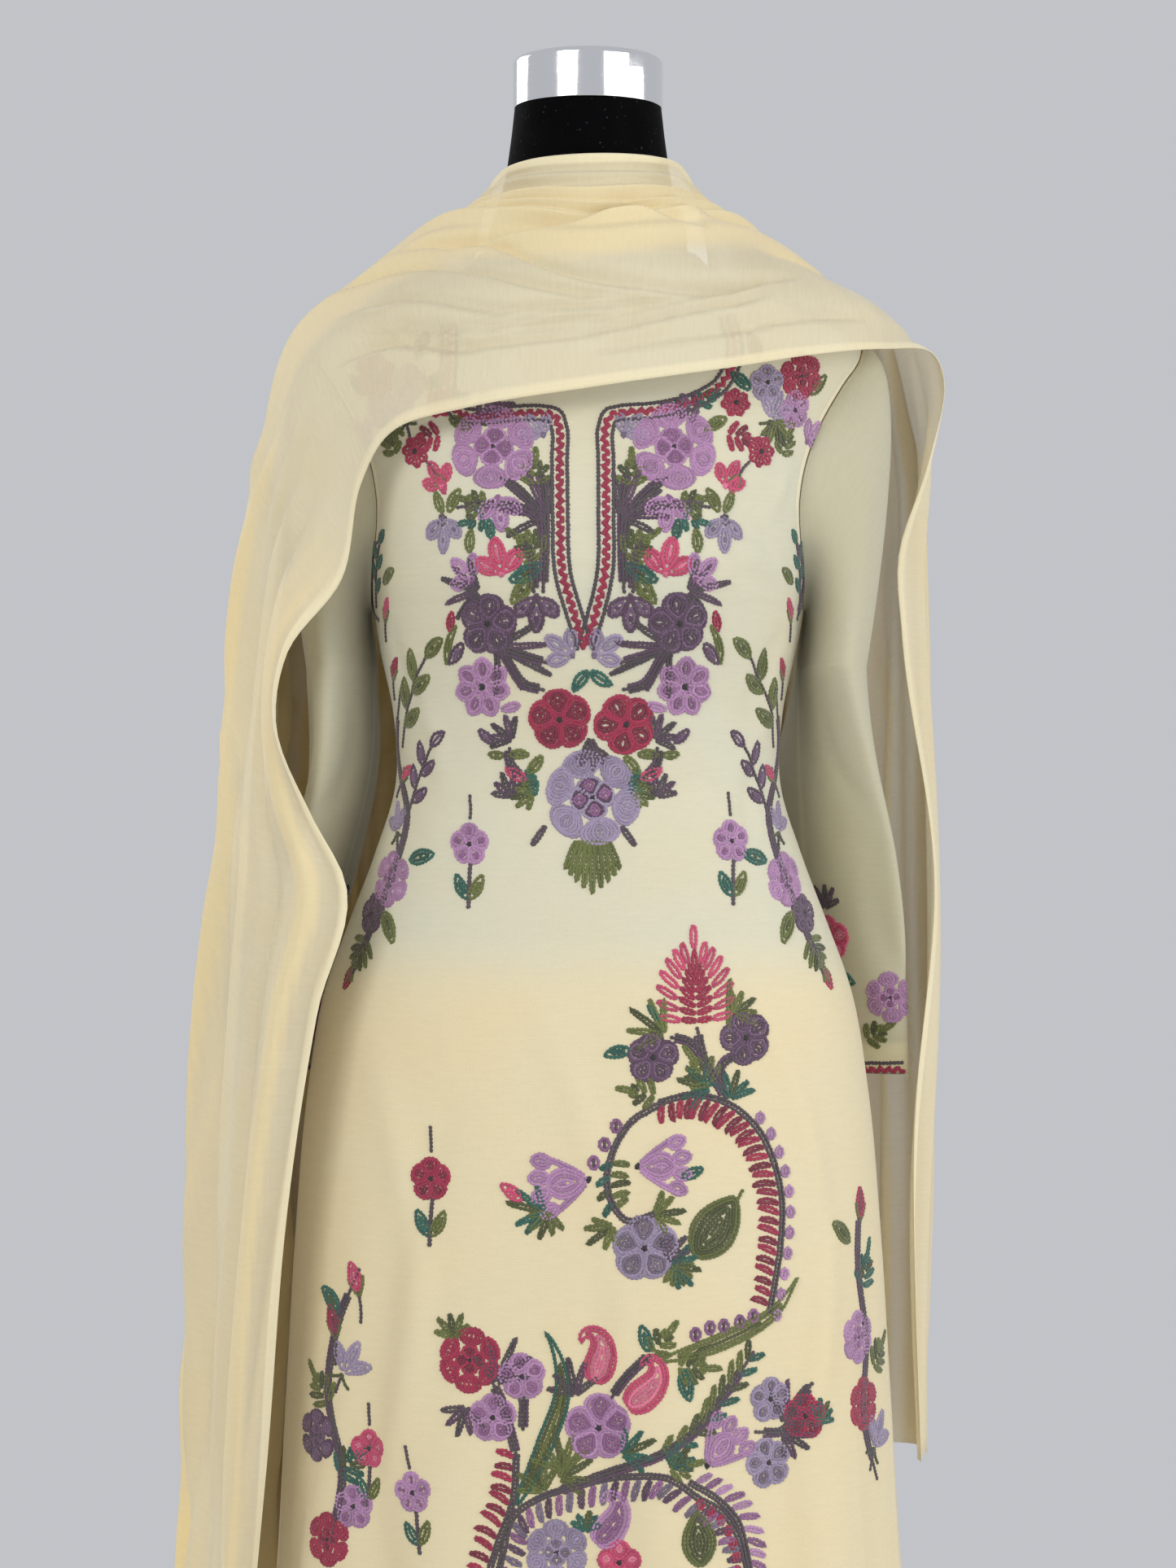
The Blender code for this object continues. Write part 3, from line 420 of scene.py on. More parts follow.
class Look:
    """A material: constants go on the shader itself, and what varies comes from its nodes."""

    def __init__(self, name, **constants):
        self.material = bpy.data.materials.new(name)
        self.material.use_nodes = True
        self.tree = self.material.node_tree
        self.shader = self.tree.nodes["Principled BSDF"]
        for socket, value in constants.items():
            self.set(socket.replace("_", " "), value)

    def add(self, kind, settings=None, inputs=None, output=0):
        node = self.tree.nodes.new(kind)
        for name, value in (settings or {}).items():
            if name == "stops":
                self.set_stops(node.color_ramp, value)
            else:
                setattr(node, name, value)
        for name, value in (inputs or {}).items():
            if isinstance(value, Wire):
                self.tree.links.new(value.socket, node.inputs[name])
            else:
                node.inputs[name].default_value = value
        return Wire(self, node.outputs[output])

    def set_stops(self, ramp, stops):
        while len(ramp.elements) < len(stops):
            ramp.elements.new(0.5)
        for element, (position, value) in zip(ramp.elements, stops):
            element.position, element.color = position, (value, value, value, 1)

    def set(self, socket, value):
        if isinstance(value, Wire):
            self.tree.links.new(value.socket, self.shader.inputs[socket])
        else:
            self.shader.inputs[socket].default_value = value

    def uv(self):
        return self.add("ShaderNodeTexCoord", output="UV")

    def place(self):
        return self.add("ShaderNodeTexCoord", output="Object")

    def noise(self, at, scale, detail=2.0, stretch=(1, 1, 1)):
        if stretch != (1, 1, 1):
            at = self.add("ShaderNodeMapping", inputs={"Vector": at, "Scale": stretch})
        return self.add("ShaderNodeTexNoise", inputs={"Vector": at, "Scale": scale, "Detail": detail})

    def ramp(self, value, *stops):
        return self.add("ShaderNodeValToRGB", {"stops": stops}, {0: value})

    def mix(self, factor, first, second):
        return self.add("ShaderNodeMix", {"data_type": "RGBA"}, {0: factor, 6: first, 7: second}, 2)

    def drawn(self, attribute):
        """An amount from 0 to 1 that the piece keeps at each of its points."""
        return self.add("ShaderNodeAttribute", {"attribute_name": attribute}, output="Fac")

    def bump(self, height, distance, strength=1.0, under=None):
        inputs = {"Height": height, "Distance": distance, "Strength": strength}
        if under:
            inputs["Normal"] = under
        return self.add("ShaderNodeBump", inputs=inputs)


# Georgette is a crisp, see-through crepe; chiffon is thinner; santoon is a close, soft satin
THREADS_PER_METRE = 2600
CREPE_GRAIN = 900


def weave(look, at, depth):
    """The two sets of threads, with the crepe's pebbled grain over them."""
    sets = [
        look.add(
            "ShaderNodeTexWave",
            {"bands_direction": way},
            {"Vector": at, "Scale": THREADS_PER_METRE / 6.3, "Distortion": 0.6, "Detail": 1.0},
            1,
        )
        for way in ("X", "Y")
    ]
    grain = look.noise(at, CREPE_GRAIN, 1.0)
    return look.bump(sets[0] * 0.25 + sets[1] * 0.25 + grain, depth)


def sheer(name, thin, dense, deep_colour, colour, hem_colour):
    """See-through cloth: where a piece keeps a deep amount its colour goes deeper, which on the dupatta is painted
    shade in its folds and on the kameez the salwar showing through, and its hems, being doubled, look denser.
    """
    look = Look(name, Roughness=0.74, Sheen_Weight=0.35, Sheen_Roughness=0.4, Specular_IOR_Level=0.25)
    at = look.uv()
    deep, hem = look.drawn("deep"), look.drawn("hem")
    slub = look.noise(at, 60, 3.0, (1, 6, 1))
    cloudy = look.noise(at, 9, 2.0)
    # The deep amount moves the colour towards deep_colour: painted shade on the dupatta, the salwar showing through on
    # the kameez
    body = look.mix(deep, shade(colour), shade(deep_colour))
    body = look.mix(hem * 0.8, body, shade(hem_colour))
    body = look.mix(look.ramp(cloudy, (0.35, 0.0), (0.75, 0.22)), body, shade(deep_colour))
    look.set("Base Color", body)
    look.set("Alpha", look.ramp(slub * 0.08 + deep * (dense - thin) + hem * 0.22 + (thin - 0.04), (0, 0), (1, 1)))
    soft = look.bump(look.noise(at, 42, 2.0, (1, 0.35, 1)), 0.0012, 0.5)
    fine = weave(look, at, 0.00022)
    look.tree.links.new(soft.socket, fine.socket.node.inputs["Normal"])
    look.set("Normal", fine)
    return look.material


def santoon():
    look = Look("santoon", Sheen_Weight=0.3, Sheen_Roughness=0.35, Specular_IOR_Level=0.4)
    at = look.uv()
    cloudy = look.noise(at, 11, 2.0)
    look.set("Base Color", look.mix(look.ramp(cloudy, (0.3, 0.0), (0.8, 0.5)), shade("eee0b4"), shade("e3cf97")))
    look.set("Roughness", look.noise(at, 70, 2.0) * 0.2 + 0.42)
    look.set("Normal", weave(look, at, 0.00012))
    return look.material


def form_cover():
    """Black cotton velvet, brushed a little unevenly, with a few specks of lint."""
    look = Look("form_cover", Sheen_Weight=0.04, Sheen_Roughness=0.3, Specular_IOR_Level=0.06)
    at = look.place()
    nap = look.noise(at, 55, 4.0)
    lint = look.ramp(look.noise(at, 420, 1.0), (0.735, 0.0), (0.76, 1.0))
    look.set("Base Color", look.mix(lint * 0.5, shade("020203"), shade("4a4a50")))
    look.set("Roughness", nap * 0.3 + 0.7)
    look.set("Normal", look.bump(look.noise(at, 700, 2.0), 0.0004))
    return look.material


def chrome(name, worn):
    """Bright plating, with faint wiping marks and, on the base, light scuffs."""
    look = Look(name, Metallic=1.0, Base_Color=shade("e9eaec"))
    at = look.place()
    wiped = look.noise(at, 30, 3.0, (1, 1, 8))
    scuffs = look.ramp(look.noise(at, 160, 6.0, (1, 7, 1)), (0.6, 0.0), (0.68, 1.0))
    look.set("Roughness", wiped * 0.1 + scuffs * (0.22 * worn) + 0.05)
    look.set("Normal", look.bump(wiped, 0.0002, 0.25))
    return look.material


def thread():
    """Embroidery cotton: each stitch has the colour that its points keep."""
    look = Look("thread", Roughness=0.5, Sheen_Weight=0.4, Specular_IOR_Level=0.45)
    colour = look.add("ShaderNodeAttribute", {"attribute_name": "thread"}, output="Color")
    streak = look.noise(look.place(), 900, 2.0)
    look.set("Base Color", look.mix(look.ramp(streak, (0.3, 0.0), (0.8, 0.45)), colour, shade("1d1216")))
    look.set("Normal", look.bump(look.noise(look.place(), 2400, 2.0), 0.0002))
    return look.material


def uv_in_metres(points):
    """How far each point of a grid lies along and across the cloth, measured on the cloth."""
    across = np.linalg.norm(np.diff(points, axis=1), axis=-1)
    across = np.concatenate([np.zeros((len(points), 1)), np.cumsum(across, axis=1)], axis=1)
    across -= across[:, -1:] / 2
    up = np.linalg.norm(np.diff(points, axis=0), axis=-1).mean(axis=1)
    up = np.concatenate([[0], np.cumsum(up)])
    return np.stack([across, np.repeat(up[:, None], points.shape[1], axis=1)], -1)


def normals_of(points, closed=False):
    """Outward normals of a grid whose rows run round a body."""
    down, side = np.gradient(points, axis=0), np.gradient(points, axis=1)
    if closed:
        side[:, 0] = side[:, -1] = (points[:, 1] - points[:, -2]) / 2
    normals = np.cross(side, down)
    normals /= np.linalg.norm(normals, axis=-1, keepdims=True) + 1e-12
    middle = points.mean(axis=1, keepdims=True) if closed else np.array([0, 0, 1]) * points
    return normals if np.sum(normals * (points - middle)) > 0 else -normals


def cloth(name, points, material, closed_rows=0, shell=SHELL, **amounts):
    """A flat grid bent into its shape, seamed into a tube where it is one, and given its thickness."""
    rows, columns = points.shape[:2]
    bpy.ops.object.select_all(action="DESELECT")
    bpy.ops.mesh.primitive_grid_add(x_subdivisions=columns - 1, y_subdivisions=rows - 1, size=1)
    piece = bpy.context.object
    piece.name = piece.data.name = name
    mesh = piece.data
    outwards = normals_of(points, closed_rows == rows)
    points = points.copy()
    points[:closed_rows, -1] = points[:closed_rows, 0]
    mesh.vertices.foreach_set("co", points.astype(np.float32).ravel())
    corners = np.zeros(len(mesh.loops), np.int32)
    mesh.loops.foreach_get("vertex_index", corners)
    flat = uv_in_metres(points).reshape(-1, 2)[corners]
    mesh.uv_layers.active.data.foreach_set("uv", flat.astype(np.float32).ravel())
    for attribute in ("deep", "hem"):
        amount = np.broadcast_to(amounts.get(attribute, 0.0), (rows, columns))
        kept = mesh.attributes.new(attribute, "FLOAT", "POINT")
        kept.data.foreach_set("value", np.clip(amount, 0, 1).astype(np.float32).ravel())
    shape = bmesh.new()
    shape.from_mesh(mesh)
    if closed_rows:
        ends = [v for v in shape.verts if v.index % columns in (0, columns - 1) and v.index < closed_rows * columns]
        bmesh.ops.remove_doubles(shape, verts=ends, dist=1e-6)
    shape.faces.ensure_lookup_table()
    middle = outwards[: rows - 1, : columns - 1].reshape(-1, 3)
    facing = sum(np.dot(face.normal, middle[i]) for i, face in enumerate(shape.faces) if i % 97 == 0)
    if facing < 0:
        bmesh.ops.reverse_faces(shape, faces=shape.faces)
    shape.to_mesh(mesh)
    shape.free()
    wall = piece.modifiers.new("Thickness", "SOLIDIFY")
    wall.thickness, wall.offset = shell, -1
    bpy.ops.object.modifier_apply(modifier=wall.name)
    mesh.shade_smooth()
    mesh.materials.append(material)
    return piece


# A crease: a soft trough, depth below 0, or ridge between two places on a cloth, in metres
Crease = namedtuple("Crease", "across up across_end up_end width depth")


def creased(points, across, up, creases, closed=False):
    """Moves a grid out or in along its creases, each deepest at its middle and gone at its ends."""
    move = np.zeros(points.shape[:2])
    for crease in creases:
        run = np.array([crease.across_end - crease.across, crease.up_end - crease.up])
        length = np.linalg.norm(run)
        run /= length
        along = (across - crease.across) * run[0] + (up - crease.up) * run[1]
        beside = (up - crease.up) * run[0] - (across - crease.across) * run[1]
        share = np.clip(along / length, 0, 1)
        past = np.clip(along, 0, length) - along
        bend = 0.12 * length * np.sin(math.pi * share) * np.sign(crease.depth)
        fade = (0.25 + 0.75 * np.sin(math.pi * share) ** 0.8) * np.exp(-((past / crease.width) ** 2))
        move += crease.depth * fade * np.exp(-(((beside - bend) / crease.width) ** 2))
    return points + move[..., None] * normals_of(points, closed)


def from_middle(points):
    """How far each point lies from its row's middle, measured on the cloth."""
    steps = np.linalg.norm(np.diff(points, axis=1), axis=-1)
    run = np.concatenate([np.zeros((len(points), 1)), np.cumsum(steps, axis=1)], axis=1)
    half = points.shape[1] // 2
    way = points[-40, -1, 0] - points[-40, 0, 0]
    return (run - run[:, half : half + 1]) * (-1 if way < 0 else 1)


KAMEEZ_FRONT_CREASES = [
    # Drag lines below the right armhole
    Crease(0.148, 1.232, 0.092, 1.262, 0.006, -0.0022),
    Crease(0.158, 1.205, 0.104, 1.222, 0.005, -0.0018),
    Crease(0.152, 1.300, 0.128, 1.262, 0.006, 0.0016),
    Crease(0.160, 1.186, 0.118, 1.130, 0.008, -0.0024),
    Crease(0.150, 1.165, 0.108, 1.088, 0.009, 0.0022),
    Crease(0.142, 1.120, 0.116, 1.046, 0.007, -0.0018),
    Crease(-0.150, 1.228, -0.100, 1.256, 0.006, -0.0020),
    Crease(-0.158, 1.190, -0.112, 1.128, 0.008, -0.0022),
    Crease(-0.146, 1.160, -0.104, 1.082, 0.009, 0.0020),
    # The waist
    Crease(-0.120, 1.070, -0.030, 1.088, 0.007, -0.0012),
    Crease(0.125, 1.062, 0.045, 1.080, 0.008, -0.0012),
    Crease(-0.075, 1.030, 0.040, 1.040, 0.010, 0.0012),
    Crease(0.060, 1.110, 0.012, 1.140, 0.008, -0.0010),
    # The neck slit's puckers
    Crease(-0.014, 1.334, 0.012, 1.327, 0.0035, -0.0013),
    Crease(-0.016, 1.306, 0.010, 1.302, 0.0035, 0.0012),
    Crease(-0.012, 1.281, 0.015, 1.276, 0.0030, -0.0012),
    Crease(-0.015, 1.258, 0.009, 1.252, 0.0035, -0.0010),
    Crease(-0.010, 1.233, 0.012, 1.229, 0.0030, 0.0010),
    Crease(-0.008, 1.210, 0.008, 1.206, 0.0030, -0.0009),
    # Soft lengthwise folds of the skirt
    Crease(-0.150, 0.900, -0.176, 0.540, 0.014, 0.0040),
    Crease(-0.096, 0.860, -0.104, 0.420, 0.016, -0.0045),
    Crease(-0.030, 0.930, -0.022, 0.560, 0.013, 0.0030),
    Crease(0.052, 0.880, 0.064, 0.470, 0.015, -0.0040),
    Crease(0.112, 0.950, 0.142, 0.600, 0.012, 0.0038),
    Crease(0.176, 0.820, 0.205, 0.380, 0.015, -0.0044),
    Crease(-0.190, 0.660, -0.205, 0.330, 0.013, -0.0040),
    Crease(0.012, 0.620, 0.020, 0.300, 0.014, -0.0036),
]
KAMEEZ_BACK_CREASES = [
    Crease(0.150, 1.236, 0.096, 1.268, 0.007, -0.0020),
    Crease(-0.152, 1.230, -0.090, 1.258, 0.006, -0.0022),
    Crease(0.150, 1.170, 0.100, 1.100, 0.009, 0.0022),
    Crease(-0.146, 1.160, -0.108, 1.086, 0.008, -0.0020),
    Crease(-0.095, 1.060, 0.030, 1.074, 0.010, -0.0016),
    Crease(0.110, 1.040, 0.020, 1.052, 0.009, 0.0014),
    Crease(-0.160, 0.900, -0.182, 0.520, 0.014, 0.0042),
    Crease(-0.084, 0.930, -0.090, 0.500, 0.016, -0.0044),
    Crease(0.010, 0.900, 0.018, 0.460, 0.014, 0.0034),
    Crease(0.088, 0.860, 0.100, 0.400, 0.015, -0.0042),
    Crease(0.165, 0.920, 0.186, 0.560, 0.013, 0.0040),
    Crease(0.190, 0.600, 0.200, 0.320, 0.012, -0.0036),
]


def kameez_grid(front):
    """Front or back panel, hem to neck edge, seen as points and as places on the cloth."""
    rows, columns = KAMEEZ_GRID
    heights = np.linspace(KAMEEZ[0].z, KAMEEZ[-1].z, rows)
    z, across = np.meshgrid(heights, np.linspace(0, 1, columns), indexing="ij")
    turn = edge_turn(z)
    angle = turn + across * (math.pi - 2 * turn)
    points = kameez_point(angle if front else -angle, z)
    points[..., 1] += (-0.5 if front else 0.5) * SEAM_GAP
    run = from_middle(points)
    return creased(points, run, z, KAMEEZ_FRONT_CREASES if front else KAMEEZ_BACK_CREASES), run, z


def kameez_panel(name, front, material):
    """A panel with its turned-up hem and the narrow turnings down its slits."""
    points, run, z = kameez_grid(front)
    to_edge = np.minimum(np.abs(run - run[:, :1]), np.abs(run[:, -1:] - run))
    hem = eased((KAMEEZ[0].z + HEM_DEPTH - z) / 0.002) + (to_edge < 0.009) * (z < SLIT_TOP_Z)
    seam = (to_edge < 0.004) * (z > SLIT_TOP_Z)
    # Below its top the salwar shows through, and warms the cloth
    fold = eased((0.985 - z) / 0.05) * 0.42
    return cloth(name, points, material, hem=hem + 0.7 * seam, deep=fold), points, run, z[:, 0]


LEFT_SLEEVE_CREASES = [
    Crease(-0.060, 1.150, -0.020, 1.040, 0.012, -0.0030),
    Crease(0.050, 1.130, 0.010, 1.010, 0.010, 0.0028),
    Crease(0.090, 1.060, 0.050, 0.940, 0.012, -0.0030),
    Crease(-0.100, 1.010, -0.070, 0.900, 0.011, 0.0026),
    Crease(0.000, 0.990, 0.020, 0.890, 0.009, -0.0022),
    Crease(-0.120, 1.130, -0.090, 1.060, 0.010, -0.0024),
]
RIGHT_SLEEVE_CREASES = [
    Crease(0.060, 1.170, 0.020, 1.050, 0.012, -0.0030),
    Crease(-0.030, 1.140, -0.050, 1.000, 0.011, 0.0030),
    Crease(0.010, 1.070, 0.030, 0.930, 0.010, -0.0028),
    Crease(0.080, 1.020, 0.060, 0.900, 0.011, 0.0024),
    Crease(-0.090, 1.060, -0.070, 0.920, 0.012, -0.0030),
    Crease(0.120, 1.120, 0.110, 1.000, 0.010, 0.0024),
    Crease(-0.120, 1.150, -0.100, 1.070, 0.009, -0.0022),
]


def armhole_ring(side):
    """The sleeve's first ring: up the front of the armhole from the armpit, and down its back."""
    turn = np.linspace(0, 2 * math.pi, SLEEVE_GRID_COLUMNS + 1)
    up = (1 - np.cos(turn)) / 2
    clear = 2 * SEAM_GAP
    z = ARMPIT_Z + clear + up * (SHOULDER_TIP_Z - ARMPIT_Z - 2 * clear)
    way = np.where(np.sin(turn) > 0, 1, -1)
    edge = kameez_point(way * edge_turn(z), z)
    return np.stack([side * (edge[:, 0] + SEAM_GAP), edge[:, 1] * ARMHOLE_FIT, z], -1), up


def hanging_ring(table, z, side):
    """A ring of the empty sleeve: half_length is along its flat, which turns towards the back."""
    turn = np.linspace(0, 2 * math.pi, SLEEVE_GRID_COLUMNS + 1)
    x, y, length, thickness, lean = (
        through(-column(table, "z"), column(table, name), -z)
        for name in ("x", "y", "half_length", "half_thickness", "turn_deg")
    )
    lean = math.radians(float(lean))
    flat = -length * np.sin(turn)
    thick = -thickness * np.cos(turn)
    return np.stack(
        [
            side * (x - flat * math.sin(lean) + thick * math.cos(lean)),
            y + flat * math.cos(lean) + thick * math.sin(lean),
            np.full_like(turn, z),
        ],
        -1,
    )


def sleeve(name, table, side, reach, creases, material):
    """Each strip leaves the armhole outwards, turns down over the shoulder and then hangs."""
    start, up = armhole_ring(side)
    end = hanging_ring(table, table[0].z, side)
    out = start + np.stack([side * (0.006 + reach * up), 0 * up, 0.004 * up], -1)
    drop = (start[:, 2] - end[:, 2])[:, None] * [0, 0, 0.55]
    above = end + drop + np.stack([side * 0.020 * up, 0 * up, 0 * up], -1)
    rings = []
    for share in np.linspace(0, 1, SLEEVE_CAP_GRID):
        rest = 1 - share
        rings.append(rest**3 * start + 3 * rest**2 * share * out + 3 * rest * share**2 * above + share**3 * end)
    for z in np.linspace(table[0].z, table[-1].z, SLEEVE_HANG_GRID)[1:]:
        rings.append(hanging_ring(table, z, side))
    points = np.array(rings)
    points[:, -1] = points[:, 0]
    run = from_middle(points)
    points = creased(points, run, points[..., 2], creases, closed=True)
    points[:, -1] = points[:, 0]
    hem = eased((table[-1].z + 0.022 - points[..., 2]) / 0.002)
    seam = np.abs(run) > np.abs(run).max(axis=1, keepdims=True) - 0.004
    armhole = np.arange(len(points))[:, None] < 2
    piece = cloth(name, points, material, closed_rows=len(points), hem=hem + 0.7 * seam + 0.7 * armhole)
    return piece, points, run


def tube(name, points, material, **amounts):
    points[:, -1] = points[:, 0]
    return cloth(name, points, material, closed_rows=len(points), **amounts)


def salwar_belt(material):
    rows, columns = BELT_GRID
    z, angle = np.meshgrid(
        np.linspace(BELT[0].z, BELT[-1].z, rows), np.linspace(0, 2 * math.pi, columns + 1), indexing="ij"
    )
    return tube("salwar_belt_cloth", ring_point(BELT, angle, z), material)


LEG_CREASES = [
    Crease(-0.150, 0.740, -0.130, 0.420, 0.012, -0.0035),
    Crease(0.040, 0.700, 0.060, 0.360, 0.012, 0.0035),
    Crease(0.160, 0.600, 0.140, 0.260, 0.011, -0.0030),
    Crease(-0.060, 0.480, -0.050, 0.170, 0.010, 0.0030),
    Crease(0.100, 0.400, 0.080, 0.140, 0.009, -0.0026),
]


def salwar_leg(name, side, material):
    """Below the crotch a leg is a tube. Above it, it is open at the middle and meets the other leg."""
    rows, columns = LEG_GRID
    turn = np.linspace(0, 1, columns + 1)
    top_z = BELT[0].z - SEAM_GAP
    below = round(rows * (CROTCH_Z - LEG[0].z) / (top_z - LEG[0].z))
    rings = []
    for z in np.linspace(LEG[0].z, CROTCH_Z, below):
        x, half_width, half_depth = (
            through(column(LEG, "z"), column(LEG, part), z) for part in ("x", "half_width", "half_depth")
        )
        angle = math.pi + 2 * math.pi * turn
        rings.append(np.stack([x + half_width * np.cos(angle), half_depth * np.sin(angle), 0 * turn + z], -1))
    joined = rings[-1]
    at_belt = ring_point(BELT, math.pi / 2 - math.pi * turn, np.full_like(turn, BELT[0].z))
    for share in np.linspace(0, 1, rows - below + 1)[1:]:
        open_up = eased(share**0.7)
        row = joined * (1 - open_up) + at_belt * open_up
        row[:, 2] = CROTCH_Z + (top_z - CROTCH_Z) * share
        rings.append(row)
    points = np.array(rings)
    height = (points[..., 2] - LEG[0].z) / (top_z - LEG[0].z)
    depth = LEG_PLEAT_DEPTH * np.sin(math.pi * np.clip(height, 0, 1)) ** 0.5
    outwards = (points - points.mean(axis=1, keepdims=True))[..., :2]
    outwards /= np.linalg.norm(outwards, axis=-1, keepdims=True)
    wave = np.sin(2 * math.pi * LEG_PLEATS * turn) * np.sin(math.pi * turn) ** 0.5
    points[..., :2] += (depth * wave)[..., None] * outwards
    points[:below, -1] = points[:below, 0]
    points = creased(points, from_middle(points), points[..., 2], LEG_CREASES)
    points[:below, -1] = points[:below, 0]
    points[..., 0] = side * np.maximum(points[..., 0], SEAM_GAP / 2)
    return cloth(name, points, material, closed_rows=below)


def salwar_cuff(name, side, material):
    rows, columns = CUFF_GRID
    z, angle = np.meshgrid(
        np.linspace(CUFF_BOTTOM_Z, CUFF_TOP_Z, rows), np.linspace(0, 2 * math.pi, columns + 1), indexing="ij"
    )
    x = side * LEG[0].x + CUFF_HALF_WIDTH * np.cos(angle)
    return tube(name, np.stack([x, CUFF_HALF_DEPTH * np.sin(angle), z], -1), material)


def clear_of_body(points, clearance):
    """Moves out what lies inside the kameez and the neck, so that the sheet rests on them."""
    body = KAMEEZ + NECK

    def level(where):
        half_width, front, back = sizes_at(body, where[..., 2])
        y = where[..., 1]
        bust = with_bust(np.stack([where[..., 0], 0 * y - 1, where[..., 2]], -1))[..., 1] + 1
        depth = np.where(y < 0, front - bust, back) + clearance
        x_share = np.abs(where[..., 0]) / (half_width + clearance)
        return (x_share**SQUARENESS + (np.abs(y) / depth) ** SQUARENESS) ** (1 / SQUARENESS)

    step = 0.0005
    for _ in range(5):
        here = level(points)
        slope = np.stack(
            [(level(points + step * axis) - level(points - step * axis)) / (2 * step) for axis in np.eye(3)], -1
        )
        size = np.maximum(np.sum(slope**2, axis=-1), 1.0)
        push = np.where(here < 1, (1 - here) / size, 0)
        points = points + push[..., None] * slope
    return points


def dupatta_skin(along, across):
    """The sheet before its pleats: a smooth skin over its five lines."""
    lines = [through(column(g, "along"), np.array([[b.x, b.y, b.z] for b in g]), along) for g in GUIDES]
    lines = np.stack(lines)
    sway = PLEAT_SWAY * np.sin(math.pi * across) * np.sin(9 * along[:, None] + 5 * across)
    return np.stack([through(ACROSS, lines[:, r], across + sway[r]) for r in range(len(along))])


def dupatta_normals(along, across):
    step = 0.004
    lengthwise = dupatta_skin(along + step, across) - dupatta_skin(along - step, across)
    after, before = np.minimum(across + step, 1), np.maximum(across - step, 0)
    crosswise = dupatta_skin(along, after) - dupatta_skin(along, before)
    normals = np.cross(crosswise, lengthwise)
    return normals / np.linalg.norm(normals, axis=-1, keepdims=True)


# A fold runs the length of the dupatta through places given along it and, from 0 to 1, across it.
# Above it falls away softly, and below it sharply, as where one layer lies over the next.
Fold = namedtuple("Fold", "marks depth above below")
THROAT_FOLDS = [
    Fold([(-0.100, 0.860), (-0.040, 0.880), (0.020, 0.890), (0.090, 0.840)], 0.0030, 0.010, 0.004),
    Fold([(-0.140, 0.640), (-0.060, 0.654), (-0.013, 0.717), (0.027, 0.754), (0.090, 0.600)], 0.0068, 0.009, 0.0022),
    Fold([(-0.110, 0.615), (-0.068, 0.604), (-0.040, 0.520), (0.010, 0.420), (0.060, 0.330), (0.150, 0.290)],
         0.0076, 0.008, 0.0018),
    Fold([(-0.200, 0.560), (-0.120, 0.520), (-0.055, 0.430), (0.000, 0.372), (0.040, 0.340)], 0.0061, 0.006, 0.0016),
    Fold([(-0.180, 0.420), (-0.110, 0.360), (-0.060, 0.310), (-0.003, 0.330), (0.050, 0.290)], 0.0065, 0.006, 0.0016),
    Fold([(-0.170, 0.330), (-0.120, 0.270), (-0.055, 0.262), (0.020, 0.283), (0.120, 0.300)], 0.0057, 0.007, 0.0018),
    Fold([(-0.190, 0.262), (-0.140, 0.237), (-0.083, 0.192), (-0.030, 0.212), (0.040, 0.229), (0.130, 0.232)],
         0.0099, 0.013, 0.0020),
    Fold([(-0.010, 0.150), (0.032, 0.142), (0.083, 0.129), (0.137, 0.128), (0.210, 0.110)], 0.0057, 0.010, 0.0020),
    Fold([(0.110, 0.520), (0.160, 0.440), (0.220, 0.400), (0.300, 0.380)], 0.0076, 0.010, 0.0026),
    Fold([(0.060, 0.760), (0.130, 0.700), (0.200, 0.640), (0.300, 0.600)], 0.0068, 0.010, 0.0026),
    Fold([(-0.060, 0.800), (-0.130, 0.760), (-0.210, 0.700), (-0.300, 0.660)], 0.0068, 0.010, 0.0026),
]
# How far across the falls each of their sharp folds lies, at the shoulder and at the end
FALL_FOLDS = [
    (-1, 0.050, 0.075, -0.0050, 0.012), (-1, 0.135, 0.110, 0.0060, 0.010), (-1, 0.215, 0.240, 0.0070, 0.012),
    (-1, 0.330, 0.300, -0.0060, 0.012), (-1, 0.420, 0.450, 0.0080, 0.013), (-1, 0.540, 0.520, 0.0060, 0.011),
    (-1, 0.660, 0.690, 0.0080, 0.014), (-1, 0.780, 0.760, -0.0060, 0.012), (-1, 0.900, 0.910, 0.0070, 0.013),
    (1, 0.060, 0.050, 0.0050, 0.012), (1, 0.150, 0.170, 0.0070, 0.011), (1, 0.260, 0.235, -0.0060, 0.012),
    (1, 0.350, 0.380, 0.0070, 0.013), (1, 0.470, 0.450, 0.0070, 0.011), (1, 0.580, 0.610, -0.0060, 0.012),
    (1, 0.700, 0.680, 0.0080, 0.013), (1, 0.820, 0.840, 0.0060, 0.012), (1, 0.930, 0.920, 0.0060, 0.012),
]
# The creases pressed into the sheet where it was folded, seen at the left shoulder
PRESSED = [
    Crease(-0.172, 0.200, -0.128, 0.080, 0.0022, 0.0014),
    Crease(-0.128, 0.080, -0.092, 0.004, 0.0020, 0.0014),
    Crease(-0.126, 0.072, -0.050, 0.016, 0.0020, 0.0012),
]


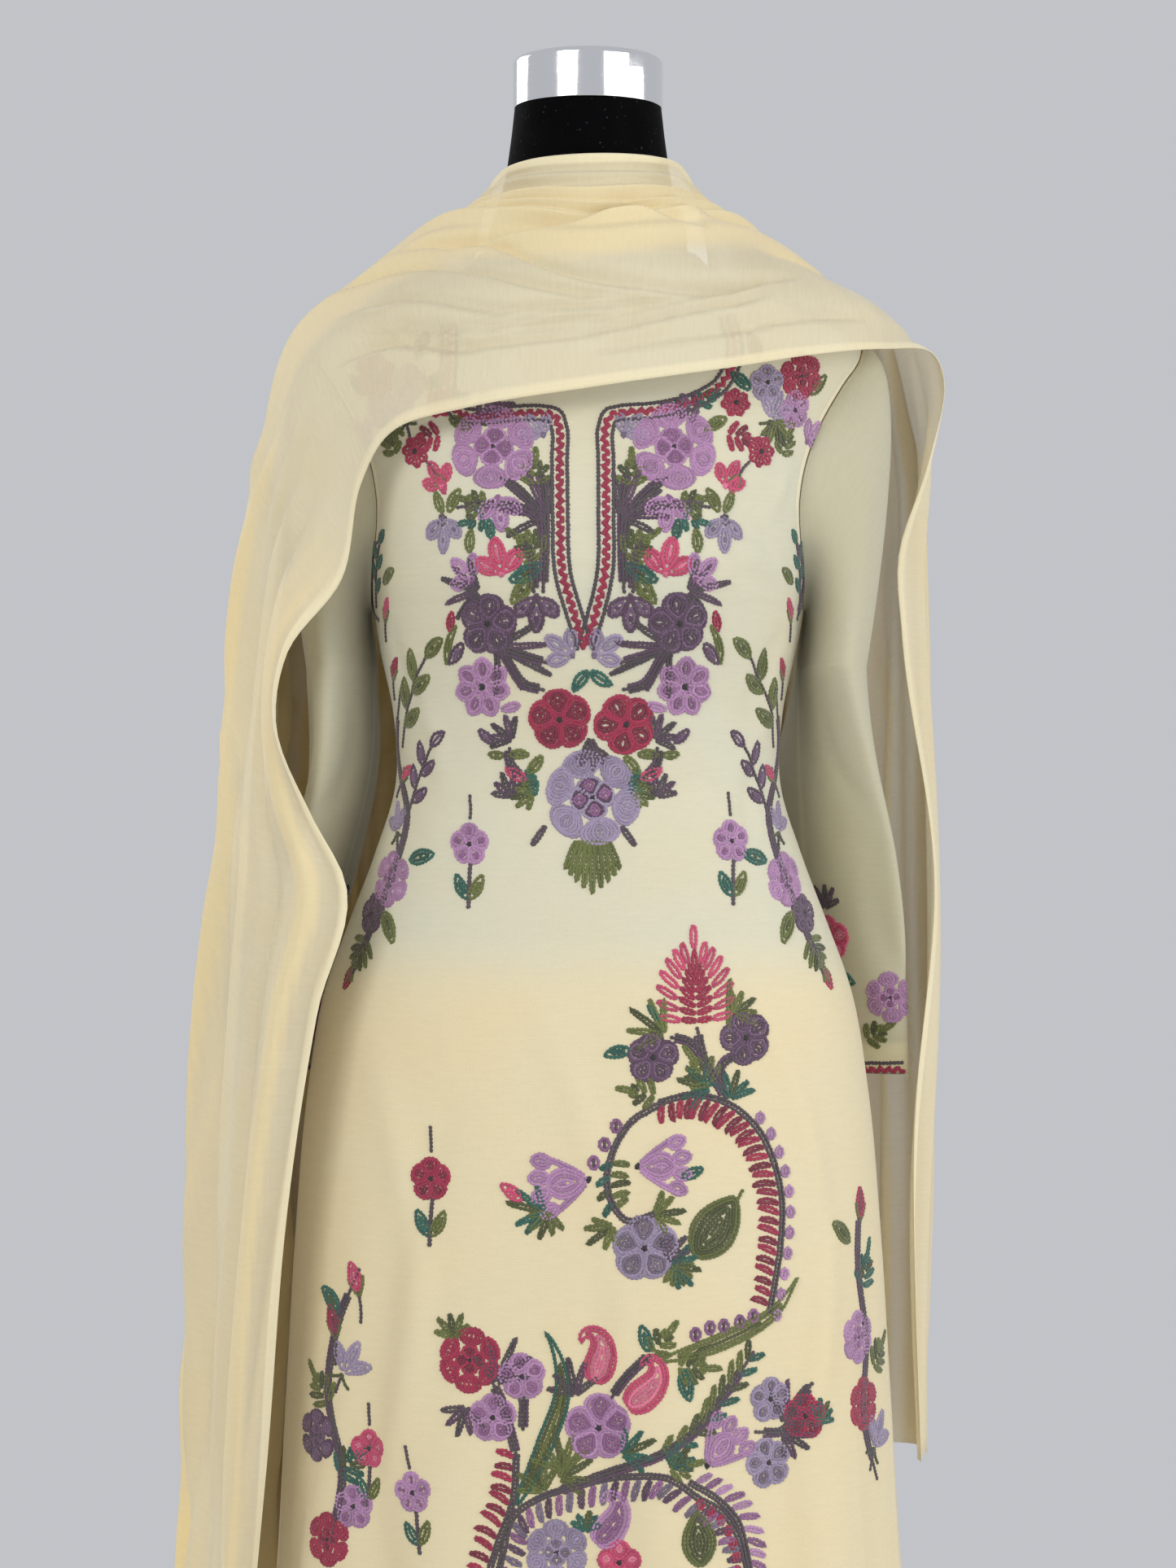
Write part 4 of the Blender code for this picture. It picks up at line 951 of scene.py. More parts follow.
def fold_moves(along, over, width):
    """How far the folds move each place of the sheet out; over is the distance up from its lower edge."""
    move = np.zeros_like(over)
    at = along[:, None]

    def add(centre, depth, above, below, window):
        off = over - centre[:, None] * width[:, None]
        side = np.where(off > 0, above, below)
        return depth * window[:, None] * np.exp(-((off / side) ** 2))

    for fold in THROAT_FOLDS:
        marks = np.array(fold.marks)
        centre = through(marks[:, 0], marks[:, 1], along)
        window = eased((along - marks[0, 0]) / 0.035) * eased((marks[-1, 0] - along) / 0.035)
        move += add(centre, fold.depth, fold.above, fold.below, window)
    for side, start, end, depth, wide in FALL_FOLDS:
        share = np.clip((side * along - 0.22) / 0.86, 0, 1)
        centre = start + (end - start) * share + 0.006 * np.sin(9 * along + 30 * start)
        window = eased((side * along - 0.20) / 0.16)
        move += add(centre, depth, wide, wide * 0.42, window)
    fine = np.sin(2 * math.pi * over / 0.031 + 5 * at + 1.7 * np.sin(7 * at))
    return move + 0.0016 * fine * eased((np.abs(at) - 0.16) / 0.2)


def rows_along(count):
    """Places along the dupatta, closest together at the throat, where its folds run aslant."""
    even = np.linspace(DUPATTA_CUTS[0], DUPATTA_CUTS[-1], 2000)
    share = np.cumsum(1 + 3.2 * np.exp(-((even / 0.24) ** 2)))
    share = (share - share[0]) / (share[-1] - share[0])
    return np.interp(np.linspace(0, 1, count), share, even)


def dupatta(material):
    """One sheet, pleated lengthwise, with small uneven folds among its pleats."""
    rows, columns = DUPATTA_GRID
    along, across = rows_along(rows), np.linspace(0, 1, columns)
    skin, normals = dupatta_skin(along, across), dupatta_normals(along, across)
    turn = 2 * math.pi * PLEAT_COUNT * (across - PLEAT_START) / (1 - PLEAT_START)
    depth = through(column(PLEAT_DEPTHS, "along"), column(PLEAT_DEPTHS, "depth"), along)[:, None]
    rise = eased((across - PLEAT_START) / (PLEAT_FULL - PLEAT_START))
    small = 0.22 * np.sin(2.3 * turn + 7 * along[:, None]) * np.minimum(1, 4 * np.abs(along[:, None]))
    steps = np.linalg.norm(np.diff(skin, axis=1), axis=-1)
    over = np.concatenate([np.zeros((rows, 1)), np.cumsum(steps, axis=1)], axis=1)
    width = over[:, -1]
    move = fold_moves(along, over, width)
    wave = np.sin(turn + 0.35 * np.sin(turn + 3 * along[:, None])) + small
    points = skin + (depth * rise * wave + move)[..., None] * normals
    at = np.repeat(along[:, None], columns, axis=1)
    share = np.repeat(across[None, :], rows, axis=0)
    pressed = [c._replace(up=c.up * 0.19, up_end=c.up_end * 0.19) for c in PRESSED]
    points = creased(points, at, share * 0.19, pressed)
    points = clear_of_body(points, DUPATTA_CLEARANCE - 0.001)
    hem = eased((0.008 - np.minimum(over, width[:, None] - over)) / 0.002)
    hem = hem + eased((DUPATTA_CUTS[0] + 0.012 - along) / 0.003)[:, None]
    # Painted shade: the deep amount deepens the colour in the fold troughs and pleat valleys, on the falls' back layers
    # and across the throat, deepest in its troughs, together with the deeper tone where layers of the sheet stack
    falls = eased((np.abs(at) - 0.16) / 0.14)
    throat = (1 - falls) * eased((share - 0.19) / 0.06) * (0.30 + 0.70 * eased((0.80 - share) / 0.12))
    throat = throat * (0.62 + 0.55 * eased(-move / 0.004))
    hollow = eased(-move / 0.003) + eased(0.5 - 0.5 * np.sin(turn)) * rise * 0.5
    behind = eased((share - 0.34) / 0.08)
    deep = 0.12 + falls * (0.08 + 0.42 * hollow + 0.5 * behind) + throat * 0.8
    return cloth("dupatta_cloth", points, material, shell=0.0005, hem=hem, deep=deep), points


def dress_form(material):
    """The torso: smooth, whole, without arms, head or legs."""
    inset, drop = FORM_SHOULDER_INSET, FORM_SHOULDER_DROP
    above = [
        Section(s.z - drop, s.half_width - inset, s.front - inset, s.back - inset)
        for s in KAMEEZ
        if s.z > FORM_BELOW[-1].z
    ]
    sections = FORM_BELOW + above + NECK
    count = len(sections)
    heights = np.interp(np.linspace(0, count - 1, 4 * count), range(count), [s.z for s in sections])
    z, angle = np.meshgrid(heights, np.linspace(0, 2 * math.pi, 97), indexing="ij")
    return capped_tube("form_cover", with_bust(ring_point(sections, angle, z)), material)


def capped_tube(name, points, material):
    """A closed body of stacked rings, with a flat face at each end."""
    rows, columns = points.shape[:2]
    bpy.ops.object.select_all(action="DESELECT")
    bpy.ops.mesh.primitive_grid_add(x_subdivisions=columns - 1, y_subdivisions=rows - 1, size=1)
    piece = bpy.context.object
    piece.name = piece.data.name = name
    points[:, -1] = points[:, 0]
    piece.data.vertices.foreach_set("co", points.astype(np.float32).ravel())
    bpy.ops.object.mode_set(mode="EDIT")
    bpy.ops.mesh.select_all(action="SELECT")
    bpy.ops.mesh.remove_doubles(threshold=1e-6)
    bpy.ops.mesh.fill_holes(sides=0)
    bpy.ops.mesh.select_all(action="SELECT")
    bpy.ops.mesh.normals_make_consistent(inside=False)
    bpy.ops.object.mode_set(mode="OBJECT")
    bpy.ops.object.shade_smooth_by_angle(angle=math.radians(50))
    piece.data.materials.clear()
    piece.data.materials.append(material)
    return piece


def turned(name, profile, x, material, sides=128):
    """A round piece spun from its half profile of (radius, height) rows, top to bottom."""
    angle = np.linspace(0, 2 * math.pi, sides + 1)
    radius, z = np.array(profile).T
    rings = np.stack(
        [
            x + radius[:, None] * np.cos(angle),
            radius[:, None] * np.sin(angle),
            np.repeat(z[:, None], sides + 1, axis=1),
        ],
        -1,
    )
    return capped_tube(name, rings, material)


def rounded(radius, low, high, top, bottom=0.0006):
    """A turned profile with rounded edges at its top and bottom."""
    quarter = np.linspace(0, math.pi / 2, 9)
    above = [(radius - top + top * math.sin(q), high - top + top * math.cos(q)) for q in quarter]
    under = [(radius - bottom + bottom * math.cos(q), low + bottom - bottom * math.sin(q)) for q in quarter]
    return above + under


def stand(metal, worn):
    base_top = BASE_THICKNESS
    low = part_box("stand_pole")[0].z
    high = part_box("stand_pole")[1].z
    return {
        "form_neck_cap": turned("neck_cap", rounded(CAP_RADIUS, CAP_BOTTOM_Z, CAP_TOP_Z, CAP_ROUNDING), 0, metal),
        "stand_base": turned("base_plate", rounded(BASE_RADIUS, 0, base_top, 0.003), 0, worn, 160),
        "stand_pole": turned("pole", rounded(POLE_RADIUS, low, high, 0.0008), POLE_X, metal, 64),
    }


# Chain stitch: each link is pinched where the next one starts, and rows lie side by side
LINK, THREAD_WIDTH, THREAD_RISE, ROW = 0.0027, 0.0029, 0.0011, 0.0025
THREADS = {
    "stem": "4a3f45",
    "crimson": "a01c43",
    "wine": "7c1233",
    "rose": "c8446b",
    "pink": "dc7391",
    "mauve": "b183ad",
    "heather": "8d5c88",
    "purple": "573c54",
    "dusk": "6f5270",
    "lilac": "9a8ba6",
    "grey": "77697e",
    "olive": "626a2b",
    "moss": "474f22",
    "teal": "1f5c4d",
    "black": "1a1216",
    "cream": "efe4bd",
}
MAUVES, LILACS, DUSKS = ("mauve", "mauve", "heather"), ("lilac", "lilac", "grey"), ("purple", "dusk", "purple")
ROSES, CRIMSONS, PINKS = ("rose", "rose", "pink"), ("crimson", "crimson", "wine"), ("pink", "rose", "pink")
OLIVES, TEALS, STEMS = ("olive", "olive", "moss"), ("teal", "teal", "moss"), ("stem", "purple")


class Panel:
    """A cloth's own surface, found by the distance from its middle line and by its height."""

    STEP = 0.0015

    def __init__(self, points, run, heights, closed=False):
        if heights[0] > heights[-1]:
            points, run, heights = points[::-1], run[::-1], heights[::-1]
        if run[0, 0] > run[0, -1]:
            points, run = points[:, ::-1], run[:, ::-1]
        outwards = normals_of(points, closed)
        self.across = np.arange(run.min(), run.max(), self.STEP)
        self.heights = heights
        both = np.concatenate([points, outwards], axis=-1)
        self.surface = np.array(
            [np.stack([np.interp(self.across, run[r], both[r, :, i]) for i in range(6)], -1) for r in range(len(run))]
        )

    def place(self, path, lift):
        """Points over the cloth for places on it, each lifted off it along its normal."""
        row = np.interp(path.imag, self.heights, np.arange(len(self.heights)))
        column = np.clip((path.real - self.across[0]) / self.STEP, 0, len(self.across) - 1.001)
        low, left = np.minimum(row.astype(int), len(self.heights) - 2), column.astype(int)
        up, right = (row - low)[..., None], (column - left)[..., None]
        near = self.surface[low, left] * (1 - right) + self.surface[low, left + 1] * right
        far = self.surface[low + 1, left] * (1 - right) + self.surface[low + 1, left + 1] * right
        found = near * (1 - up) + far * up
        normals = found[..., 3:] / np.linalg.norm(found[..., 3:], axis=-1, keepdims=True)
        return found[..., :3] + normals * lift[..., None]

    def find(self, x, z):
        """The place on the cloth of what is seen at x and z from the front or back."""
        row = int(round(float(np.interp(z, self.heights, np.arange(len(self.heights))))))
        seen = self.surface[row, :, 0]
        middle = len(seen) // 2
        near = slice(np.argmin(seen[: middle + 1]), middle + np.argmax(seen[middle:]) + 1)
        return complex(np.interp(x, seen[near], self.across[near]), z)


class Needle:
    """Keeps the rows of stitches sewn on one panel, and makes them one mesh."""

    def __init__(self, panel, seed):
        self.panel, self.rows, self.random = panel, [], np.random.default_rng(seed)

    def sew(self, path, colour, width=THREAD_WIDTH):
        steps = np.abs(np.diff(path))
        length = steps.sum()
        if length < 0.5 * LINK:
            return
        links = max(1, round(length / LINK))
        at = np.interp(np.linspace(0, length, 2 * links + 1), np.concatenate([[0], np.cumsum(steps)]), path)
        waver = self.random.normal(0, 0.00013, (2, len(at)))
        tint = np.array(shade(THREADS[colour])[:3]) * self.random.uniform(0.82, 1.15)
        self.rows.append((at + waver[0] + 1j * waver[1], tint, width))

    def finished(self, name, material):
        sizes = [len(row[0]) for row in self.rows]
        path = np.concatenate([row[0] for row in self.rows])
        way = np.concatenate([np.gradient(row[0]) for row in self.rows])
        side = 1j * way / np.maximum(np.abs(way), 1e-9)
        width = np.concatenate([np.full(n, row[2]) for n, row in zip(sizes, self.rows)])
        first = np.concatenate([np.arange(n) for n in sizes])
        pinch = np.where(first % 2 == 0, 0.62, 1.0)
        offsets = np.array([-0.5, -0.24, 0.24, 0.5])
        flat = path[:, None] + (side * width * pinch)[:, None] * offsets
        lift = np.array([-0.1, 1, 1, -0.1]) * THREAD_RISE * pinch[:, None] + 0.00012
        points = self.panel.place(flat, lift)
        bpy.ops.object.select_all(action="DESELECT")
        bpy.ops.mesh.primitive_grid_add(x_subdivisions=3, y_subdivisions=len(path) - 1, size=1)
        piece = bpy.context.object
        piece.name = piece.data.name = name
        mesh = piece.data
        mesh.vertices.foreach_set("co", points.astype(np.float32).ravel())
        tint = np.concatenate([np.tile([*row[1], 1.0], (4 * n, 1)) for n, row in zip(sizes, self.rows)])
        dyed = mesh.color_attributes.new("thread", "FLOAT_COLOR", "POINT")
        dyed.data.foreach_set("color", tint.astype(np.float32).ravel())
        shape = bmesh.new()
        shape.from_mesh(mesh)
        shape.faces.ensure_lookup_table()
        ends = np.cumsum(sizes)[:-1] - 1
        bmesh.ops.delete(shape, geom=[shape.faces[3 * int(e) + c] for e in ends for c in range(3)], context="FACES")
        shape.to_mesh(mesh)
        shape.free()
        facing = np.zeros(len(mesh.polygons) * 3, np.float32)
        mesh.polygons.foreach_get("normal", facing)
        middles = np.zeros_like(facing)
        mesh.polygons.foreach_get("center", middles)
        base = self.panel.place(path[:1], np.array([0.0]))[0]
        up = self.panel.place(path[:1], np.array([0.01]))[0] - base
        if np.dot(facing[:3] + facing[3:6] + facing[6:9], up) < 0:
            mesh.flip_normals()
        mesh.shade_smooth()
        mesh.materials.append(material)
        return piece


class Pen:
    """A place, a turn and a side of a panel, from which a motif is drawn."""

    def __init__(self, needle, place=0j, turn=1 + 0j, flip=False):
        self.needle, self.place, self.turn, self.flip = needle, place, turn, flip

    def to(self, path):
        return self.place + self.turn * (-np.conj(path) if self.flip else path)

    def at(self, across, up, degrees=0, flip=False):
        more = complex(math.cos(math.radians(degrees)), math.sin(math.radians(degrees)))
        turn = self.turn * (more.conjugate() if self.flip else more)
        return Pen(self.needle, complex(self.to(complex(across, up))), turn, self.flip != flip)

    def on(self, x, z, degrees=0, flip=False):
        """A place that is seen at x and z."""
        return Pen(self.needle, self.needle.panel.find(x, z)).at(0, 0, degrees, flip)

    def sew(self, path, colour, width=THREAD_WIDTH):
        self.needle.sew(self.to(path), colour, width)


def line(*places, steps=48):
    """A smooth line through places given as (across, up)."""
    marks = np.array(places, float)
    knots = np.concatenate([[0], np.cumsum(np.hypot(*np.diff(marks, axis=0).T))])
    at = through(knots, marks, np.linspace(0, knots[-1], steps))
    return at[:, 0] + 1j * at[:, 1]


def arc(length, bend=0.0, steps=26):
    """A line that starts upwards and turns left by bend degrees along its length."""
    way = 1j * np.exp(1j * np.radians(bend) * np.linspace(0, 1, steps))
    return np.concatenate([[0], np.cumsum((way[1:] + way[:-1]) / 2)]) * length / (steps - 1)


def swell(steps, fullness=1.0, blunt=0.75):
    """How wide a petal or leaf is along its length: above 1, fullness moves the widest part to its tip."""
    return np.sin(math.pi * np.linspace(0, 1, steps) ** fullness) ** blunt


def fill(pen, spine, half_width, colours):
    """Rows of stitches, each inside the last, from a shape's edge to its middle line."""
    way = np.gradient(spine)
    side = 1j * way / np.abs(way)
    for k in range(16):
        room = half_width - (k + 0.5) * ROW
        inside = np.flatnonzero(room > 0)
        colour = colours[min(k, len(colours) - 1)]
        if len(inside) < 3 or room.max() < 0.35 * ROW:
            middle = np.flatnonzero(half_width > (k + 0.25) * ROW)
            if k == 0 or len(middle) > 2:
                pen.sew(spine if k == 0 else spine[middle], colour)
            return
        run = slice(inside[0], inside[-1] + 1)
        edge = side[run] * np.maximum(room[run], 0)
        loop = np.concatenate([spine[run] + edge, (spine[run] - edge)[::-1]])
        pen.sew(np.append(loop, loop[0]), colour)


def leaf(pen, size, colours, bend=22, slim=0.48):
    spine = arc(size, bend)
    fill(pen, spine, size * slim / 2 * swell(len(spine), 0.85, 0.75), colours)


def blade(pen, size, colours):
    leaf(pen, size, colours, bend=55, slim=0.2)


def broad(pen, size, colours):
    """A wide leaf with a pointed tip."""
    leaf(pen, size, colours, bend=10, slim=0.66)
    finger(pen.at(-0.02 * size, 0.9 * size, 12), size * 0.22, colours, wide=0.0018)


def ribbon(pen, path, half_width, colours):
    """A long leaf along a line, blunt at its foot and thin at its tip."""
    share = np.linspace(0, 1, len(path))
    fill(pen, path, half_width * (0.25 + 0.75 * np.sin(math.pi * share**0.75)) * (1 - share**6), colours)


def finger(pen, size, colours, bend=0.0, wide=0.0026):
    """A stroke with round ends, two rows wide."""
    spine = arc(size, bend, 16)
    fill(pen, spine, wide * swell(16, 1, 0.3), colours)


def twigs(pen, size, colours, count=5, spread=104):
    """Fingers that spread from one place."""
    for i in range(count):
        turn = spread * (i / (count - 1) - 0.5) + pen.needle.random.uniform(-4, 4)
        reach = size * (1 - abs(turn) / 220) * pen.needle.random.uniform(0.88, 1.08)
        finger(pen.at(0, 0, turn), reach, (colours[i % len(colours)],), bend=0.35 * turn)


def lobed(pen, size, colours, wide=0.42, rise=0.0050):
    """A leaf of round-ended fingers that lie side by side about its vein."""
    pairs = max(2, round(0.62 * size / rise))
    for i in range(pairs):
        share = i / pairs
        reach = size * wide * (0.75 + 0.5 * math.sin(math.pi * min(1, share + 0.25)) - 0.45 * share)
        for way in (-1, 1):
            colour = (colours[(i + (way > 0)) % len(colours)],)
            finger(pen.at(0, share * 0.62 * size, way * (72 - 40 * share)), reach, colour, bend=-18 * way)
    finger(pen.at(0, 0.45 * size), 0.56 * size, (colours[0],))


def pinnate(pen, size, colours):
    """A great leaf of two tiers: dark fingers about the vein, and light ones that go on to its edge."""
    for i in range(7):
        share = i / 6
        foot, inner = 0.06 + 0.42 * share, 0.16 + 0.05 * math.sin(math.pi * share)
        outer = 0.17 + 0.10 * math.sin(math.pi * (0.2 + 0.6 * share))
        for way in (-1, 1):
            turn = way * (86 - 62 * share)
            vein = pen.at(0, foot * size, turn)
            finger(vein, inner * size, ("crimson",), bend=-8 * way, wide=0.0026)
            tip = vein.at(0, inner * size * 0.98, -5 * way)
            finger(tip, outer * size, ("rose", "pink"), bend=-8 * way, wide=0.0030)
    finger(pen.at(0, 0.50 * size), 0.28 * size, ("crimson",), wide=0.0026)
    finger(pen.at(0, 0.76 * size), 0.26 * size, ("rose",), wide=0.0030)


def eye(pen, colour="black", size=0.0012):
    """A round dot."""
    pen.sew(size * np.exp(1j * np.linspace(0, 2 * math.pi, 9)), colour, THREAD_WIDTH * 1.25)


def flower(pen, size, colours, petals=5, fullness=1.45, blunt=0.52, centre="black", hollow=0.08):
    """Round petals of nested rows about a dark eye."""
    radius = size / 2
    for i in range(petals):
        petal = pen.at(0, 0, 360 / petals * i + pen.needle.random.uniform(-5, 5))
        spine = arc(radius * (1 - hollow) * pen.needle.random.uniform(0.9, 1.0)) + 1j * hollow * radius
        half = radius * math.sin(math.pi / petals) * 0.85 * swell(len(spine), fullness, blunt)
        fill(petal, spine, half, colours)
    if centre:
        eye(pen, centre)


def blossom(pen, size, colours):
    """A wide flower: a ring of petals about a smaller, darker flower."""
    flower(pen, size, colours[:2], petals=6, fullness=1.2, centre=None, hollow=0.42)
    flower(pen, size * 0.46, colours[1:], petals=4, fullness=1.3)


def daffodil(pen, size, colours):
    """A star of slim petals."""
    flower(pen, size, colours, petals=7, fullness=1.25, blunt=0.7)


def trefoil(pen, size, colours):
    """Three petals, with a bract on each side of their foot."""
    for turn in (-56, 56, 0):
        spine = arc(size * (0.70 if turn else 0.86), -turn * 0.3)
        fill(pen.at(0, 0, turn), spine, size * 0.21 * swell(len(spine), 1.35, 0.65), colours)
    eye(pen, colours[-1])


def sepals(pen, size, colour="moss"):
    for turn, bend in ((150, -50), (-150, 50)):
        pen.at(0, 0, turn).sew(arc(size, bend), colour)


def tulip(pen, size, colours):
    for turn, bend in ((-30, -32), (30, 32), (0, 0)):
        spine = arc(size * (0.8 if turn else 0.92), bend)
        fill(pen.at(0, 0, turn), spine, size * 0.17 * swell(len(spine), 1.15, 0.8), colours)
    sepals(pen, size * 0.4)
    pen.at(0, 0, 180).sew(arc(size * 0.5, 12), "stem")


def bud(pen, size, colours):
    spine = arc(size * 0.75, 14)
    fill(pen, spine, size * 0.2 * swell(len(spine), 0.8), colours)
    for turn in (-42, 42):
        leaf(pen.at(0, -0.1 * size, turn), size * 0.5, OLIVES, bend=-turn * 0.8, slim=0.26)
    pen.at(0, 0, 180).sew(arc(size * 0.7, -20), "stem")


def bell(pen, size, colours):
    """A nodding flower: two outward petals over a toothed mouth."""
    spine = arc(size * 0.62)
    fill(pen, spine, size * 0.24 * swell(len(spine), 1.3, 0.6), (colours[1], colours[0]))
    for across, turn in ((-0.30, 24), (-0.10, 8), (0.12, -8), (0.31, -24)):
        lobe = arc(size * 0.30)
        foot = pen.at(across * size, size * (0.60 - abs(across) * 0.35), turn)
        fill(foot, lobe, size * 0.13 * swell(26, 0.9, 0.5), colours[:1])
    for way in (-1, 1):
        finger(pen.at(way * 0.03 * size, 0, -38 * way), size * 0.84, colours[1:2], bend=10 * way, wide=0.0024)
    eye(pen)


def paisley(pen, size, colours):
    """A drop whose tip curls over."""
    turn = np.linspace(0, 1, 44)
    spine = np.cumsum(1j * np.exp(1j * (0.3 + 4.1 * turn**3.2))) * size * 1.2 / 44
    fill(pen, spine, size * 0.27 * np.sin(math.pi * turn**0.6) ** 0.8 * (1 - 0.45 * turn) + 0.0011, colours)


def sprig(pen, size, colours):
    """A stem with pairs of small leaves and a bud."""
    spine = arc(size, 26)
    pen.sew(spine, "stem")
    for share, side in ((0.25, 1), (0.4, -1), (0.6, 1), (0.75, -1)):
        spot = spine[int(share * 25)]
        leaf(pen.at(spot.real, spot.imag, 10 + 46 * side), size * 0.34, colours, bend=-20 * side, slim=0.5)
    leaf(pen.at(spine[-1].real, spine[-1].imag, 26), size * 0.3, colours, slim=0.55)


def buta(pen, size, colours):
    """A small standing plant: two leaves, a flower on its stem and a bud stalk over it."""
    pen.sew(arc(size * 0.4, -4), "stem", THREAD_WIDTH * 1.3)
    flower(pen.at(0, 0.56 * size), size * 0.38, colours)
    for turn in (-42, 40):
        leaf(pen.at(0, 0.08 * size, turn), size * 0.27, TEALS if turn > 0 else OLIVES, bend=-turn * 0.6, slim=0.46)
    finger(pen.at(0, 0.78 * size, 2), size * 0.22, STEMS, wide=0.0021)


def dots(pen, path, size, spacing, colour):
    """A row of round seeds beside a line."""
    steps = np.concatenate([[0], np.cumsum(np.abs(np.diff(path)))])
    for at in np.arange(0, steps[-1], spacing):
        spot = complex(np.interp(at, steps, path))
        seed = arc(size)
        fill(pen.at(spot.real, spot.imag - size / 2), seed, size / 2 * swell(len(seed), 1, 0.55), (colour,))


def comb(pen, path, reach, spacing, colours, side=1, lean=60, hook=40, bare=False):
    """Curved strokes along one side of a line; side is 1 for its left, and hook is how far each turns back."""
    steps = np.concatenate([[0], np.cumsum(np.abs(np.diff(path)))])
    way = np.gradient(path)
    way /= np.abs(way)
    if not bare:
        for offset in (-0.5, 0.5):
            pen.sew(path + 1j * way * offset * ROW, "stem")
    for i, at in enumerate(np.arange(spacing / 2, steps[-1] - spacing / 3, spacing)):
        share = at / steps[-1]
        tip = complex(np.interp(at, steps, way)) * np.exp(1j * side * math.radians(lean))
        root = complex(np.interp(at, steps, path)) + tip * ROW * (0 if bare else 0.8)
        far = reach * (0.72 + 0.28 * math.sin(math.pi * share)) * pen.needle.random.uniform(0.9, 1.06)
        stroke = pen.at(root.real, root.imag, math.degrees(math.atan2(-tip.real, tip.imag)))
        curl_back = -side * hook * (1 if i % 2 else 0.7)
        finger(stroke, far, (colours[i % len(colours)],), bend=curl_back, wide=0.0026)


def border(pen, path, wide=0.0102, pitch=0.0064):
    """The edging of the neck slit: a zigzag between two dark lines."""
    way = np.gradient(path)
    side = 1j * way / np.abs(way)
    for offset in (-0.5, 0.5):
        pen.sew(path + side * offset * wide, "stem", THREAD_WIDTH * 1.1)
    steps = np.concatenate([[0], np.cumsum(np.abs(np.diff(path)))])
    at = np.linspace(0, steps[-1], max(2, 8 * round(steps[-1] / pitch)) + 1)
    swing = np.sin(2 * math.pi * round(steps[-1] / pitch) * at / steps[-1]) * wide * 0.19
    centre, across = np.interp(at, steps, path), np.interp(at, steps, side)
    pen.sew(centre + across * swing, "crimson", THREAD_WIDTH * 1.35)


# Where each motif of the front lies, seen at x and z, with its turn in degrees and its size
Motif = namedtuple("Motif", "draw x z turn size colours")
SLIT_X = -0.003

# One side of the neck slit, mirrored for the other
YOKE = [
    Motif(blossom, 0.0606, 1.3090, 8, 0.060, MAUVES),
    Motif(trefoil, 0.0270, 1.3170, -40, 0.022, LILACS),
    Motif(lobed, 0.0980, 1.3185, -100, 0.026, CRIMSONS),
    Motif(twigs, 0.1300, 1.3300, -160, 0.020, OLIVES),
    Motif(lobed, 0.0800, 1.3400, -50, 0.016, TEALS),
    Motif(lobed, 0.0321, 1.2831, 0, 0.026, OLIVES),
    Motif(twigs, 0.0235, 1.2607, -55, 0.040, STEMS),
    Motif(trefoil, 0.0951, 1.2831, -30, 0.024, ROSES),
    Motif(trefoil, 0.0571, 1.2739, 172, 0.028, MAUVES),
    Motif(lobed, 0.0669, 1.2688, -72, 0.022, OLIVES),
    Motif(lobed, 0.0669, 1.2603, -102, 0.020, TEALS),
    Motif(leaf, 0.0904, 1.2645, 20, 0.020, OLIVES),
    Motif(leaf, 0.0939, 1.2645, -32, 0.018, OLIVES),
    Motif(trefoil, 0.0941, 1.2607, 180, 0.028, LILACS),
    Motif(lobed, 0.0278, 1.2361, -55, 0.030, OLIVES),
    Motif(leaf, 0.0605, 1.2453, -20, 0.016, TEALS),
    Motif(leaf, 0.0759, 1.2367, -5, 0.018, OLIVES),
    Motif(trefoil, 0.0545, 1.2226, -12, 0.030, ROSES),
    Motif(trefoil, 0.0738, 1.2190, -50, 0.026, MAUVES),
    Motif(leaf, 0.0278, 1.2297, -128, 0.026, TEALS),
    Motif(leaf, 0.0353, 1.2218, -155, 0.024, OLIVES),
    Motif(twigs, 0.0695, 1.2115, -75, 0.034, STEMS),
    Motif(trefoil, 0.0314, 1.2077, 180, 0.028, DUSKS),
    Motif(flower, 0.0641, 1.1901, 10, 0.042, DUSKS),
    Motif(leaf, 0.0812, 1.1784, -150, 0.020, DUSKS),
    Motif(leaf, 0.0900, 1.1848, 0, 0.016, CRIMSONS),
    Motif(blade, 0.0921, 1.1613, -8, 0.034, OLIVES),
    Motif(trefoil, 0.0075, 1.1692, -55, 0.026, LILACS),
    Motif(twigs, 0.0588, 1.1756, 118, 0.046, STEMS),
    Motif(daffodil, 0.0684, 1.1484, 0, 0.042, MAUVES),
    Motif(leaf, 0.0423, 1.1371, -115, 0.016, MAUVES),
    Motif(twigs, 0.0481, 1.1127, -50, 0.022, STEMS),
    Motif(leaf, 0.0605, 1.1106, -60, 0.016, DUSKS),
    Motif(leaf, 0.0509, 1.1025, 80, 0.016, OLIVES),
    Motif(leaf, 0.0528, 1.1025, -95, 0.014, OLIVES),
    Motif(leaf, 0.0278, 1.1025, -150, 0.018, OLIVES),
    Motif(leaf, 0.0374, 1.0862, -75, 0.019, ROSES),
    Motif(twigs, 0.0314, 1.0858, -110, 0.014, TEALS),
    Motif(twigs, 0.0342, 1.0764, -100, 0.016, OLIVES),
    Motif(twigs, 0.0498, 1.0742, -20, 0.018, STEMS),
    Motif(finger, 0.0250, 1.0554, -145, 0.018, STEMS),
]
